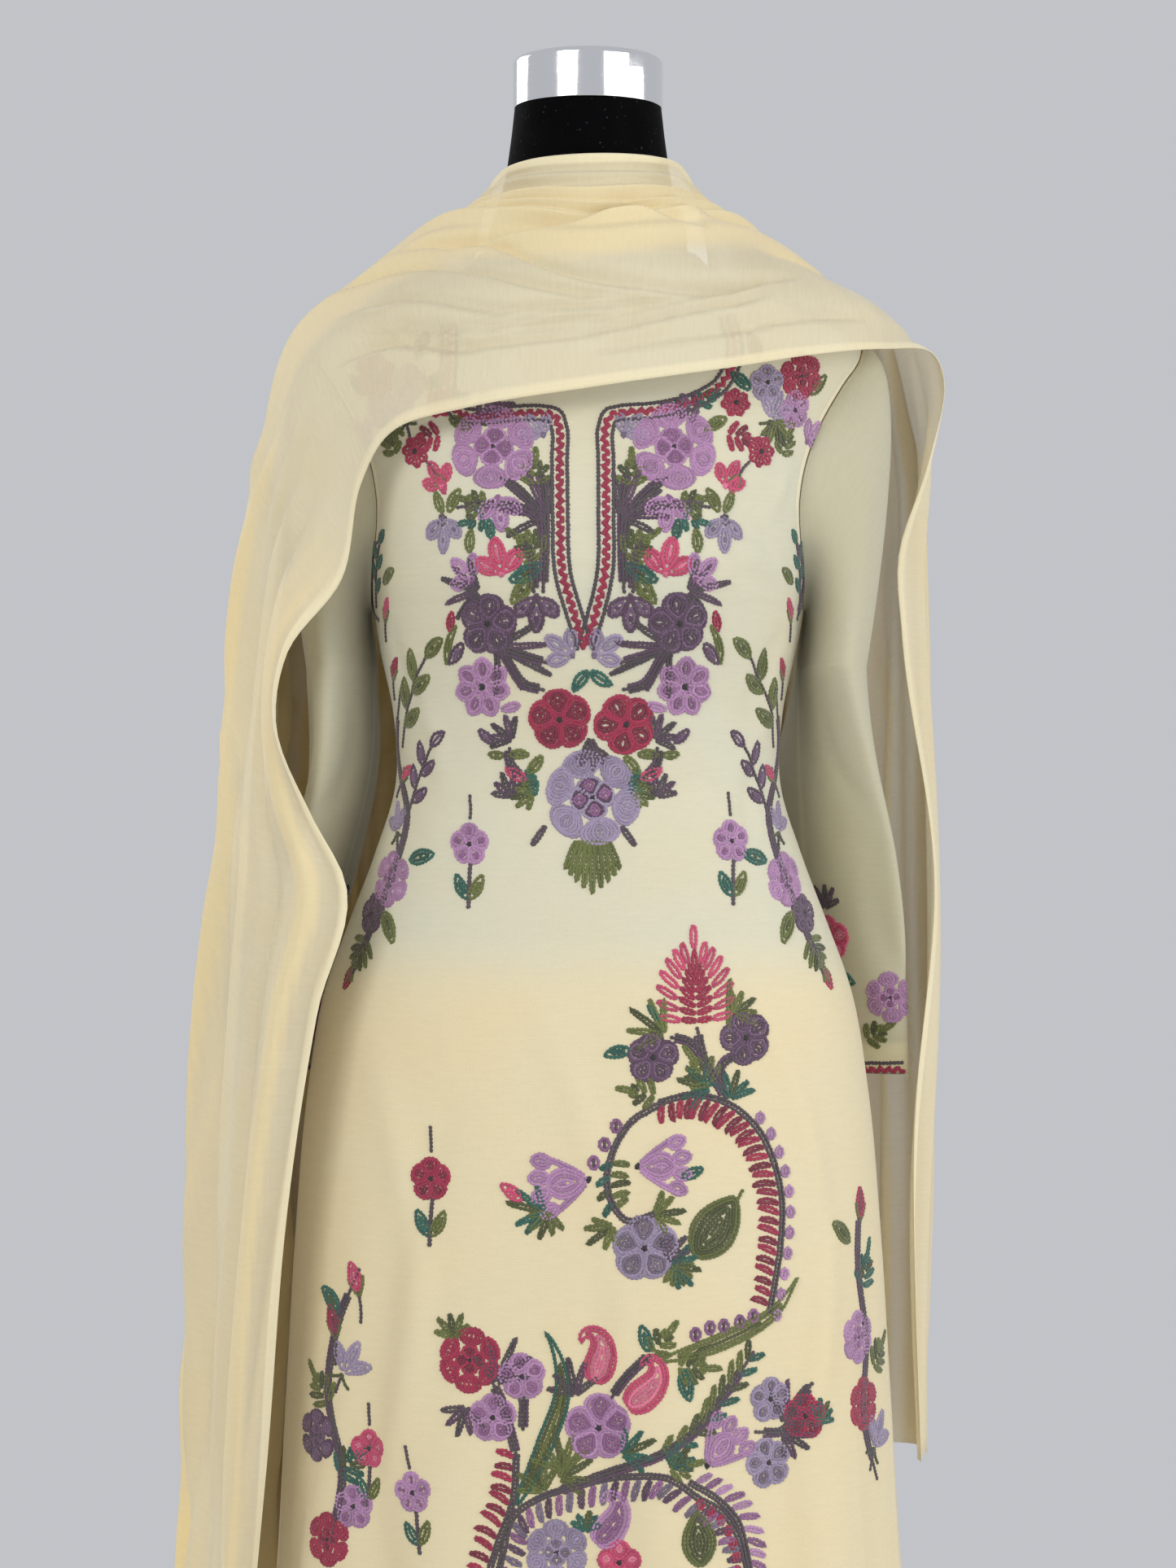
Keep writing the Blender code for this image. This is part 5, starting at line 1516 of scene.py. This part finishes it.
YOKE_STEMS = [
    [(0.0300, 1.2980), (0.0262, 1.2700), (0.0258, 1.2400), (0.0270, 1.2100)],
    [(0.0560, 1.2880), (0.0420, 1.2780), (0.0300, 1.2620), (0.0262, 1.2440)],
    [(0.0850, 1.2680), (0.0600, 1.2690), (0.0400, 1.2660), (0.0262, 1.2560)],
    [(0.0400, 1.2480), (0.0340, 1.2300), (0.0330, 1.2100)],
    [(0.0800, 1.2150), (0.0720, 1.2080), (0.0660, 1.1980)],
    [(0.0940, 1.2640), (0.0950, 1.2560)],
    [(0.0620, 1.1800), (0.0560, 1.1740), (0.0440, 1.1700), (0.0240, 1.1640)],
    [(0.0560, 1.1760), (0.0500, 1.1640), (0.0400, 1.1500), (0.0260, 1.1460)],
    [(0.0500, 1.1080), (0.0500, 1.0980), (0.0420, 1.0880)],
]
# The flowers between the two sides, below the slit
PENDANT = [
    Motif(blossom, 0.0030, 1.0740, 12, 0.066, ("lilac", "lilac", "purple", "heather")),
    Motif(flower, -0.0192, 1.1262, 8, 0.044, CRIMSONS),
    Motif(flower, 0.0256, 1.1230, 24, 0.043, CRIMSONS),
    Motif(leaf, 0.0008, 1.1590, 132, 0.019, TEALS),
    Motif(leaf, 0.0014, 1.1590, -134, 0.019, TEALS),
    Motif(finger, 0.0016, 1.1140, 158, 0.016, STEMS),
    Motif(finger, 0.0020, 1.1140, -158, 0.016, STEMS),
    Motif(twigs, 0.0030, 1.1080, 180, 0.018, STEMS),
] + [
    Motif(finger, 0.0030 + 0.0026 * way, 1.0480 - 0.0006 * abs(way), 180 + 5.5 * way, 0.041 - 0.0046 * abs(way), OLIVES)
    for way in (-4, -3, -2, -1, 0, 1, 2, 3, 4)
]
# The bunch on each shoulder, beside the armhole
SHOULDER = [
    Motif(blossom, 0.146, 1.362, 10, 0.034, CRIMSONS),
    Motif(flower, 0.122, 1.356, 0, 0.027, LILACS),
    Motif(leaf, 0.110, 1.350, 40, 0.020, TEALS),
    Motif(daffodil, 0.100, 1.341, 0, 0.022, CRIMSONS),
    Motif(tulip, 0.124, 1.330, -20, 0.025, LILACS),
    Motif(flower, 0.141, 1.338, 15, 0.028, MAUVES),
    Motif(trefoil, 0.150, 1.318, -40, 0.022, MAUVES),
    Motif(lobed, 0.132, 1.308, -20, 0.024, OLIVES),
    Motif(leaf, 0.094, 1.330, 110, 0.020, OLIVES),
    Motif(lobed, 0.074, 1.336, 84, 0.026, DUSKS),
    Motif(daffodil, 0.117, 1.308, 20, 0.024, CRIMSONS),
    Motif(bud, 0.101, 1.290, 150, 0.020, ROSES),
    Motif(leaf, 0.152, 1.350, -50, 0.020, OLIVES),
    Motif(leaf, 0.116, 1.372, 10, 0.022, OLIVES),
]
# The sprays up each side, at the armpit and at the waist
SIDES = [
    Motif(sprig, 0.146, 1.205, 8, 0.046, TEALS),
    Motif(leaf, 0.140, 1.220, 50, 0.020, OLIVES),
    Motif(bud, 0.139, 1.196, 12, 0.022, ROSES),
    Motif(sprig, 0.128, 1.108, 16, 0.070, OLIVES),
    Motif(bud, 0.134, 1.156, 20, 0.022, CRIMSONS),
    Motif(sprig, 0.124, 1.058, 12, 0.056, DUSKS),
    Motif(tulip, 0.131, 1.050, -20, 0.026, LILACS),
    Motif(bud, 0.128, 1.086, 46, 0.022, ROSES),
    Motif(blossom, 0.135, 1.018, 0, 0.038, MAUVES),
    Motif(leaf, 0.122, 1.030, 66, 0.024, TEALS),
    Motif(flower, 0.148, 0.994, 0, 0.028, DUSKS),
    Motif(leaf, 0.140, 0.996, 140, 0.026, OLIVES),
    Motif(lobed, 0.152, 0.976, -150, 0.034, OLIVES),
    Motif(bud, 0.162, 0.956, -160, 0.022, CRIMSONS),
]
SIDE_STEMS = [
    [(0.142, 1.250), (0.150, 1.225), (0.144, 1.196)],
    [(0.128, 1.150), (0.132, 1.110), (0.124, 1.060), (0.134, 1.020), (0.150, 0.980), (0.162, 0.950)],
]
BUTAS = [
    Motif(buta, -0.0806, 0.9990, 0, 0.077, MAUVES),
    Motif(buta, 0.0984, 1.0010, 0, 0.077, MAUVES),
    Motif(buta, -0.1060, 0.7740, 0, 0.080, CRIMSONS),
    Motif(buta, -0.1480, 0.5960, 0, 0.070, ROSES),
    Motif(buta, -0.1120, 0.5700, 8, 0.072, MAUVES),
]
# The great scroll of the skirt: its crimson comb, and the dark stem that runs on from it
SCROLL = [
    (0.0471, 0.8705), (0.0702, 0.8753), (0.0914, 0.8701), (0.1126, 0.8532), (0.1251, 0.8281), (0.1303, 0.8031),
    (0.1295, 0.7762), (0.1251, 0.7473), (0.1213, 0.7280),
]
SCROLL_STEM = [
    (0.0510, 0.8712), (0.0279, 0.8570), (0.0164, 0.8377), (0.0125, 0.8204), (0.0164, 0.8031), (0.0260, 0.7925),
    (0.0452, 0.7973),
]
SMALL_COMB = [(0.0173, 0.8339), (0.0148, 0.8185), (0.0173, 0.8031), (0.0221, 0.7954)]
SEEDS = [(0.0187, 0.8551), (0.0110, 0.8431), (0.0038, 0.8310), (0.0716, 0.7168), (0.0812, 0.7207), (0.0905, 0.7215)]
SEEDS += [(0.1014, 0.7238), (0.1105, 0.7272)]
SKIRT = [
    Motif(pinnate, 0.0731, 0.9205, 2, 0.067, ROSES),
    Motif(finger, 0.0943, 0.9163, -2, 0.038, OLIVES),
    Motif(twigs, 0.0976, 0.9278, -55, 0.022, OLIVES),
    Motif(twigs, 0.0514, 0.9157, 58, 0.030, OLIVES),
    Motif(finger, 0.0471, 0.9240, 30, 0.014, TEALS),
    Motif(leaf, 0.0291, 0.9051, 90, 0.020, TEALS),
    Motif(flower, 0.0433, 0.9003, 0, 0.036, DUSKS),
    Motif(flower, 0.1059, 0.9124, 20, 0.037, DUSKS),
    Motif(lobed, 0.0818, 0.8830, 36, 0.032, OLIVES),
    Motif(twigs, 0.0818, 0.8797, 76, 0.026, TEALS),
    Motif(twigs, 0.0953, 0.8720, -15, 0.024, TEALS),
    Motif(lobed, 0.0437, 0.8759, 80, 0.026, OLIVES),
    Motif(bell, -0.0000, 0.8200, 100, 0.046, MAUVES),
    Motif(bell, 0.0333, 0.8281, -88, 0.042, MAUVES),
    Motif(leaf, -0.0441, 0.8046, 40, 0.020, ROSES),
    Motif(twigs, -0.0279, 0.7983, 80, 0.028, TEALS),
    Motif(twigs, -0.0256, 0.7983, 160, 0.020, OLIVES),
    Motif(leaf, 0.0616, 0.8212, -80, 0.018, TEALS),
    Motif(twigs, 0.0437, 0.7962, -80, 0.022, OLIVES),
    Motif(flower, 0.0375, 0.7742, 0, 0.046, LILACS),
    Motif(broad, 0.0702, 0.7681, -42, 0.050, OLIVES),
    Motif(twigs, 0.0514, 0.7681, -50, 0.020, STEMS),
    Motif(twigs, 0.0552, 0.7627, -100, 0.024, TEALS),
    Motif(twigs, 0.0572, 0.7631, -150, 0.018, OLIVES),
    Motif(twigs, 0.0164, 0.7896, 130, 0.022, OLIVES),
    Motif(blossom, -0.0786, 0.6999, 0, 0.044, CRIMSONS),
    Motif(flower, -0.0439, 0.6895, 10, 0.033, MAUVES),
    Motif(flower, -0.0632, 0.6622, 0, 0.034, MAUVES),
    Motif(twigs, -0.0612, 0.6845, -20, 0.034, STEMS),
    Motif(paisley, 0.0032, 0.6845, -38, 0.042, ROSES),
    Motif(paisley, 0.0248, 0.6691, -72, 0.044, ROSES),
    Motif(leaf, 0.0398, 0.7057, 5, 0.020, TEALS),
    Motif(lobed, 0.0441, 0.7061, -38, 0.026, OLIVES),
    Motif(lobed, 0.0610, 0.6960, -95, 0.030, OLIVES),
    Motif(leaf, 0.0641, 0.6951, 180, 0.024, TEALS),
    Motif(flower, 0.0071, 0.6556, 0, 0.046, MAUVES),
    Motif(twigs, 0.0225, 0.6383, -70, 0.026, TEALS),
    Motif(twigs, -0.0160, 0.6267, 15, 0.030, OLIVES),
    Motif(twigs, -0.0189, 0.6219, -62, 0.028, OLIVES),
    Motif(twigs, -0.0295, 0.6133, 30, 0.026, OLIVES),
    Motif(twigs, -0.0083, 0.6768, 12, 0.028, STEMS),
    Motif(bell, 0.0793, 0.6302, -42, 0.042, MAUVES),
    Motif(flower, 0.1220, 0.6710, 0, 0.031, LILACS),
    Motif(flower, 0.1207, 0.6287, 15, 0.034, LILACS),
    Motif(flower, 0.1457, 0.6585, 0, 0.031, CRIMSONS),
    Motif(twigs, 0.1313, 0.6537, -32, 0.036, STEMS),
    Motif(twigs, 0.1313, 0.6475, -125, 0.024, STEMS),
    Motif(twigs, 0.1553, 0.6537, -30, 0.018, TEALS),
    Motif(broad, 0.0745, 0.5632, 0, 0.038, OLIVES),
    Motif(paisley, 0.0042, 0.5782, -62, 0.042, MAUVES),
    Motif(blossom, -0.0208, 0.5738, 0, 0.042, LILACS),
    Motif(twigs, -0.0016, 0.5873, -8, 0.016, TEALS),
    Motif(lobed, 0.0552, 0.6287, -80, 0.024, OLIVES),
    Motif(twigs, 0.0552, 0.6306, -45, 0.020, TEALS),
    Motif(twigs, -0.0891, 0.7134, 10, 0.020, OLIVES),
    Motif(twigs, -0.0814, 0.6691, 165, 0.024, STEMS),
    Motif(flower, 0.0206, 0.5671, 0, 0.030, ROSES),
]
SKIRT_STEMS = [
    [(0.0731, 0.9205), (0.0760, 0.9032), (0.0856, 0.8840), (0.0924, 0.8724)],
    [(0.1049, 0.9032), (0.0900, 0.8955), (0.0885, 0.8801), (0.0924, 0.8724)],
    [(0.0548, 0.9138), (0.0664, 0.9109), (0.0780, 0.8993)],
    [(-0.0353, 0.6075), (-0.0064, 0.6187), (0.0225, 0.6287), (0.0456, 0.6368), (0.0726, 0.6537),
     (0.0918, 0.6768), (0.1110, 0.7037)],
    [(-0.0468, 0.6344), (-0.0516, 0.6537), (-0.0583, 0.6749), (-0.0641, 0.6864)],
    [(0.0148, 0.6749), (0.0263, 0.6903), (0.0417, 0.7047)],
    [(-0.0430, 0.6537), (-0.0426, 0.6768)],
    [(0.1110, 0.6498), (0.1322, 0.6498), (0.1418, 0.6691), (0.1515, 0.6806)],
]
LONG_BLADES = [
    [(0.0494, 0.7003), (0.0918, 0.7124), (0.1245, 0.7288), (0.1476, 0.7615)],
    [(-0.0472, 0.6046), (-0.0295, 0.6421), (-0.0170, 0.6845), (-0.0237, 0.7114), (-0.0372, 0.7297)],
]
FERN = [(0.0456, 0.6368), (0.0726, 0.6537), (0.0918, 0.6768), (0.1110, 0.7037)]
# The scrolls that run on down towards the hem, and the sprays beside them
PURPLE_SCROLL = [
    (-0.0560, 0.5300), (-0.0600, 0.5497), (-0.0564, 0.5728), (-0.0487, 0.5979), (-0.0353, 0.6075), (-0.0064, 0.6175),
    (0.0263, 0.6237), (0.0533, 0.6225), (0.0726, 0.6094), (0.0918, 0.5959),
    (0.1018, 0.5767), (0.1062, 0.5575), (0.1072, 0.5305),
]
MAUVE_SCROLL = [(0.0668, 0.6200), (0.0860, 0.6075), (0.0995, 0.5921), (0.1053, 0.5728), (0.1087, 0.5536)]
SEED_SCROLL = [(0.0745, 0.6046), (0.0899, 0.5921), (0.0976, 0.5728), (0.0999, 0.5536)]
CRIMSON_SCROLL = [(-0.0474, 0.6383), (-0.0497, 0.6075), (-0.0599, 0.5786), (-0.0660, 0.5575), (-0.0680, 0.5343)]
HEM_SPRAYS = [
    Motif(bud, -0.155, 0.740, 14, 0.030, ROSES),
    Motif(leaf, -0.168, 0.724, 36, 0.026, TEALS),
    Motif(bud, -0.171, 0.710, 10, 0.030, CRIMSONS),
    Motif(tulip, -0.166, 0.684, -30, 0.030, LILACS),
    Motif(lobed, -0.176, 0.664, 40, 0.034, OLIVES),
    Motif(blossom, -0.184, 0.640, 0, 0.036, DUSKS),
    Motif(lobed, -0.168, 0.618, -50, 0.032, TEALS),
    Motif(flower, -0.158, 0.596, 0, 0.030, MAUVES),
    Motif(blossom, -0.176, 0.572, 0, 0.036, CRIMSONS),
    Motif(bud, 0.186, 0.786, -8, 0.030, CRIMSONS),
    Motif(leaf, 0.178, 0.770, 40, 0.026, OLIVES),
    Motif(lobed, 0.188, 0.740, -20, 0.034, TEALS),
    Motif(blossom, 0.184, 0.706, 0, 0.036, MAUVES),
    Motif(lobed, 0.196, 0.684, -50, 0.032, OLIVES),
    Motif(blossom, 0.188, 0.660, 0, 0.036, CRIMSONS),
    Motif(tulip, 0.196, 0.628, -30, 0.032, LILACS),
]
HEM_STEMS = [
    [(-0.154, 0.756), (-0.170, 0.716), (-0.176, 0.668), (-0.166, 0.616), (-0.174, 0.570)],
    [(0.186, 0.806), (0.184, 0.756), (0.190, 0.702), (0.188, 0.650), (0.198, 0.606)],
]
# Below the picture's edge the skirt goes on plainly, with a few of the same plants above its hem
LOWER_BUTAS = [
    Motif(buta, x, z, turn, 0.060, colours)
    for x, z, turn, colours in (
        (-0.150, 0.440, 4, MAUVES), (-0.088, 0.400, -4, CRIMSONS), (-0.026, 0.430, 0, LILACS),
        (0.036, 0.396, 5, ROSES), (0.096, 0.424, -3, MAUVES), (0.158, 0.440, 4, CRIMSONS),
    )
]
BACK_BUTAS = [
    Motif(buta, x + shift, z, turn, 0.052, colours)
    for z, shift, colours in (
        (1.230, 0.0, MAUVES), (1.090, 0.035, ROSES), (0.940, 0.0, LILACS),
        (0.790, 0.040, CRIMSONS), (0.640, 0.0, MAUVES), (0.490, 0.045, ROSES),
    )
    for x, turn in ((-0.085, 5), (0.0, -3), (0.085, 4))
]


def draw(pen, motifs, centre=0.0, flip=False):
    """Draws a table of motifs, or its mirror image about the garment's middle."""
    for motif in motifs:
        x = -motif.x if flip else motif.x
        place = pen.on(centre + x, motif.z, -motif.turn if flip else motif.turn, flip)
        motif.draw(place, motif.size, motif.colours)


def stems(pen, table, centre=0.0, flip=False, twice=True):
    for places in table:
        marks = [pen.needle.panel.find(centre + (-x if flip else x), z) for x, z in places]
        path = line(*[(mark.real, mark.imag) for mark in marks])
        side = 1j * np.gradient(path)
        side /= np.abs(side)
        pen.sew(path, "stem")
        for way in (-1, 1) if twice else ():
            pen.sew(path[5:-4] + side[5:-4] * ROW * 0.9 * way, "stem" if way > 0 else "purple")


def seen(pen, places, steps=48):
    marks = [pen.needle.panel.find(x, z) for x, z in places]
    return line(*[(mark.real, mark.imag) for mark in marks], steps=steps)


NECK_BORDER = [
    [(-0.0945, 1.397), (-0.0945, 1.372), (-0.0940, 1.346), (-0.0880, 1.334), (-0.0700, 1.330), (-0.0480, 1.332),
     (-0.0290, 1.3318), (-0.0222, 1.3300), (-0.0197, 1.3235), (-0.0190, 1.300), (-0.0185, 1.264), (-0.0165, 1.222),
     (-0.0090, 1.196), (-0.0020, 1.174)],
    [(-0.0020, 1.174), (0.0050, 1.196), (0.0110, 1.222), (0.0120, 1.264), (0.0120, 1.300), (0.0122, 1.3235),
     (0.0148, 1.3300), (0.0218, 1.3320), (0.0430, 1.334), (0.0730, 1.342), (0.0905, 1.354), (0.1000, 1.376),
     (0.0950, 1.404)],
]


def embroider_front(panel, material):
    """The yoke, sides and skirt of the front, sewn as three pieces so that none is too heavy."""
    yoke = Pen(Needle(panel, 11))
    for places in NECK_BORDER:
        border(yoke, seen(yoke, places, 260))
    for flip in (False, True):
        stems(yoke, YOKE_STEMS, SLIT_X, flip)
        draw(yoke, YOKE, SLIT_X, flip)
        draw(yoke, SHOULDER, 0.0, flip)
    draw(yoke, PENDANT)
    sides = Pen(Needle(panel, 12))
    for flip in (False, True):
        stems(sides, SIDE_STEMS, 0.0, flip)
        draw(sides, SIDES, 0.0, flip)
    draw(sides, BUTAS + LOWER_BUTAS + HEM_SPRAYS)
    stems(sides, HEM_STEMS)
    skirt = Pen(Needle(panel, 13))
    stems(skirt, SKIRT_STEMS)
    arch = seen(skirt, SCROLL, 120)
    comb(skirt, arch, 0.019, 0.0068, ("crimson", "wine"), side=-1, lean=122, hook=46)
    dots(skirt, (arch + 1j * np.gradient(arch) / np.abs(np.gradient(arch)) * 0.0062)[42:], 0.0080, 0.0138, "mauve")
    stem = seen(skirt, SCROLL_STEM)
    comb(skirt, stem, 0.002, 1.0, STEMS)
    small = seen(skirt, SMALL_COMB)
    comb(skirt, small, 0.014, 0.0075, OLIVES, side=1, lean=110, bare=True)
    comb(skirt, small, 0.012, 0.0085, TEALS, side=-1, lean=70, bare=True)
    for x, z in SEEDS:
        seed = arc(0.0090)
        fill(skirt.on(x, z - 0.0045), seed, 0.0045 * swell(26, 1, 0.5), ("heather", "purple"))
    for places, colours in zip(LONG_BLADES, (OLIVES, ("teal", "moss", "olive"))):
        ribbon(skirt, seen(skirt, places, 60), 0.0066, colours)
    fern = seen(skirt, FERN)
    comb(skirt, fern, 0.019, 0.0105, OLIVES, side=1, lean=38, hook=12, bare=True)
    comb(skirt, fern, 0.016, 0.0120, TEALS, side=-1, lean=44, hook=12, bare=True)
    lower = Pen(Needle(panel, 15))
    purple = seen(lower, PURPLE_SCROLL, 120)
    comb(lower, purple, 0.016, 0.0078, ("purple", "heather", "grey"), side=-1, lean=118, hook=24)
    comb(lower, seen(lower, MAUVE_SCROLL), 0.017, 0.0078, ("mauve", "heather"), side=1, lean=58, hook=10)
    comb(lower, seen(lower, CRIMSON_SCROLL), 0.018, 0.0080, ("crimson", "wine"), side=-1, lean=128, hook=62)
    dots(lower, seen(lower, SEED_SCROLL), 0.0074, 0.0094, "crimson")
    draw(skirt, SKIRT)
    return [
        pen.needle.finished(name, material)
        for name, pen in (
            ("embroidery_yoke", yoke), ("embroidery_sides", sides),
            ("embroidery_skirt", skirt), ("embroidery_scrolls", lower),
        )
    ]


# On a sleeve: how far across its front and how high, with its turn, size and colours
SLEEVE_MOTIFS = [
    (flower, 0.018, 0.972, 0, 0.036, ROSES),
    (leaf, 0.016, 0.950, 130, 0.022, OLIVES),
    (leaf, 0.020, 0.950, -130, 0.022, TEALS),
    (twigs, 0.018, 0.994, 0, 0.020, STEMS),
    (daffodil, 0.022, 0.912, 20, 0.036, PINKS),
    (twigs, -0.008, 0.908, 60, 0.024, OLIVES),
    (lobed, 0.046, 0.900, -60, 0.024, OLIVES),
    (flower, -0.022, 0.936, 0, 0.026, MAUVES),
    (flower, -0.052, 0.912, 0, 0.034, CRIMSONS),
    (leaf, -0.056, 0.936, 30, 0.022, TEALS),
    (blossom, 0.064, 0.930, 0, 0.036, MAUVES),
]


def embroider_sleeve(name, points, side, material):
    """The bunch above a sleeve's hem, on the face that is seen from the front, and the band below it."""
    hanging = points[SLEEVE_CAP_GRID:, :-1]
    turned_round = np.roll(hanging, SLEEVE_GRID_COLUMNS // 2, axis=1)
    turned_round = np.concatenate([turned_round, turned_round[:, :1]], axis=1)
    heights = turned_round[:, :, 2].mean(axis=1)
    pen = Pen(Needle(Panel(turned_round, from_middle(turned_round), heights, True), 17))
    for shape, across, z, turn, size, colours in SLEEVE_MOTIFS:
        shape(pen.at(side * across, z, side * turn, side < 0), size, colours)
    border(pen, line((-0.072, 0.878), (0.0, 0.876), (0.072, 0.878), steps=60))
    return pen.needle.finished(name, material)


def embroider_back(panel, material):
    pen = Pen(Needle(panel, 14))
    draw(pen, BACK_BUTAS)
    return [pen.needle.finished("embroidery_back", material)]


GEORGETTE_LOOK = dict(thin=0.72, dense=0.86, colour="e4e1ca", deep_colour="f3d99e", hem_colour="efe3bd")
# The sleeves' georgette is the same cloth made darker: painted shade for the dupatta's shadow over the sleeves
SLEEVE_PAINTED_SHADE_LOOK = dict(thin=0.74, dense=0.9, colour="cfcab0", deep_colour="c9bb86", hem_colour="d3cba8")
# The chiffon's deep colour is the painted shade of the dupatta's folds and back layers, with the tone of stacked layers
CHIFFON_LOOK = dict(thin=0.42, dense=0.94, colour="f2ead0", deep_colour="efd9a0", hem_colour="f5eac6")


def make():
    georgette = sheer("georgette", **GEORGETTE_LOOK)
    # The sleeves' copy of the georgette, darker with painted shade
    shaded = sheer("georgette_sleeve_painted_shade", **SLEEVE_PAINTED_SHADE_LOOK)
    chiffon = sheer("chiffon", **CHIFFON_LOOK)
    satin = santoon()
    cotton = thread()
    front, *front_surface = kameez_panel("kameez_front_cloth", True, georgette)
    back, *back_surface = kameez_panel("kameez_back_cloth", False, georgette)
    sewn = embroider_front(Panel(*front_surface), cotton) + embroider_back(Panel(*back_surface), cotton)
    left, left_points, _ = sleeve("sleeve_left_cloth", LEFT_SLEEVE, -1, LEFT_CAP_REACH, LEFT_SLEEVE_CREASES, shaded)
    right, right_points, _ = sleeve(
        "sleeve_right_cloth", RIGHT_SLEEVE, 1, RIGHT_CAP_REACH, RIGHT_SLEEVE_CREASES, shaded
    )
    sewn.append(embroider_sleeve("embroidery_sleeve_left", left_points, -1, cotton))
    sewn.append(embroider_sleeve("embroidery_sleeve_right", right_points, 1, cotton))
    belt = salwar_belt(satin)
    legs = [salwar_leg(f"salwar_leg_{n}_cloth", s, satin) for n, s in (("left", -1), ("right", 1))]
    cuffs = [salwar_cuff(f"salwar_cuff_{n}_cloth", s, satin) for n, s in (("left", -1), ("right", 1))]
    scarf, scarf_points = dupatta(chiffon)
    form = dress_form(form_cover())
    metals = stand(chrome("chrome", 0.2), chrome("chrome_worn", 1.0))
    for piece, slot, nodes in (
        (front, "georgette", ["kameez_front"]),
        (back, "georgette", ["kameez_back"]),
        (left, "georgette", ["sleeve_left_inner", "sleeve_left_outer"]),
        (right, "georgette", ["sleeve_right_inner", "sleeve_right_outer"]),
        (belt, "santoon", ["salwar_belt"]),
        (legs[0], "santoon", ["salwar_leg_left"]),
        (legs[1], "santoon", ["salwar_leg_right"]),
        (cuffs[0], "santoon", ["salwar_cuff_left"]),
        (cuffs[1], "santoon", ["salwar_cuff_right"]),
        (scarf, "chiffon", ["dupatta_left_fall", "dupatta_neck", "dupatta_right_fall"]),
        (form, "form_cover", ["form_torso"]),
        *[(piece, "chrome", [node]) for node, piece in metals.items()],
    ):
        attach(piece, "root")
        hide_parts(*nodes)
    for piece in sewn:
        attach(piece, "root")
    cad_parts["stand_collar"].data.materials.clear()
    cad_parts["stand_collar"].data.materials.append(bpy.data.materials["chrome"])


# The camera stands level, a little below the middle of the picture's frame of 1445 x 1927
CAMERA_DISTANCE, CAMERA_Z = 2.50, 1.083
FRAME_HEIGHT = 1.100
SENSOR = 36.0


def camera():
    lens = bpy.data.cameras.new("camera")
    lens.sensor_width = SENSOR
    lens.lens = SENSOR * CAMERA_DISTANCE / FRAME_HEIGHT
    made = bpy.data.objects.new("camera", lens)
    made.location = (0, -CAMERA_DISTANCE, CAMERA_Z)
    made.rotation_euler = (math.pi / 2, 0, 0)
    bpy.context.scene.collection.objects.link(made)
    bpy.context.scene.camera = made


def plain(name, hexed, roughness):
    look = Look(name, Specular_IOR_Level=0.2)
    mottle = look.noise(look.place(), 3.0, 3.0)
    grain = look.noise(look.place(), 260, 2.0)
    look.set("Base Color", look.mix(look.ramp(mottle, (0.3, 0.0), (0.7, 0.08)), shade(hexed), shade("9a9a9e")))
    look.set("Roughness", grain * 0.1 + roughness)
    look.set("Normal", look.bump(grain, 0.0004, 0.4))
    return look.material


def stage():
    """A pale floor. Behind the object is only the studio's even, pale surround."""
    bpy.ops.object.select_all(action="DESELECT")
    bpy.ops.mesh.primitive_plane_add(size=4.4, location=(0, 0, -0.0005))
    made = bpy.context.object
    made.name = "floor"
    made.data.materials.append(plain("floor", "d9d7d3", 0.75))


def light(name, place, aim, size, power, warmth):
    """A soft square light at a place, turned to face another."""
    lamp = bpy.data.lights.new(name, "AREA")
    lamp.shape, lamp.size, lamp.energy, lamp.color = "SQUARE", size, power, warmth
    made = bpy.data.objects.new(name, lamp)
    made.location = place
    away = Vector(place) - Vector(aim)
    made.rotation_euler = away.to_track_quat("Z", "Y").to_euler()
    bpy.context.scene.collection.objects.link(made)


def lights():
    middle = (0, 0, 1.1)
    light("key", (-1.6, -2.6, 2.5), middle, 1.6, 50, (1.0, 0.985, 0.96))
    light("fill", (2.2, -2.2, 1.6), middle, 2.2, 30, (0.96, 0.98, 1.0))
    light("side", (2.7, -0.7, 1.3), middle, 1.8, 22, (1.0, 0.99, 0.97))
    light("back_left", (-2.0, 1.3, 2.0), middle, 1.4, 14, (1.0, 1.0, 1.0))
    world = bpy.data.worlds.new("studio")
    world.use_nodes = True
    world.node_tree.nodes["Background"].inputs["Color"].default_value = (0.835, 0.855, 0.90, 1)
    world.node_tree.nodes["Background"].inputs["Strength"].default_value = 0.64
    bpy.context.scene.world = world
    bpy.context.scene.view_settings.view_transform = "Standard"


camera()
make()
stage()
lights()
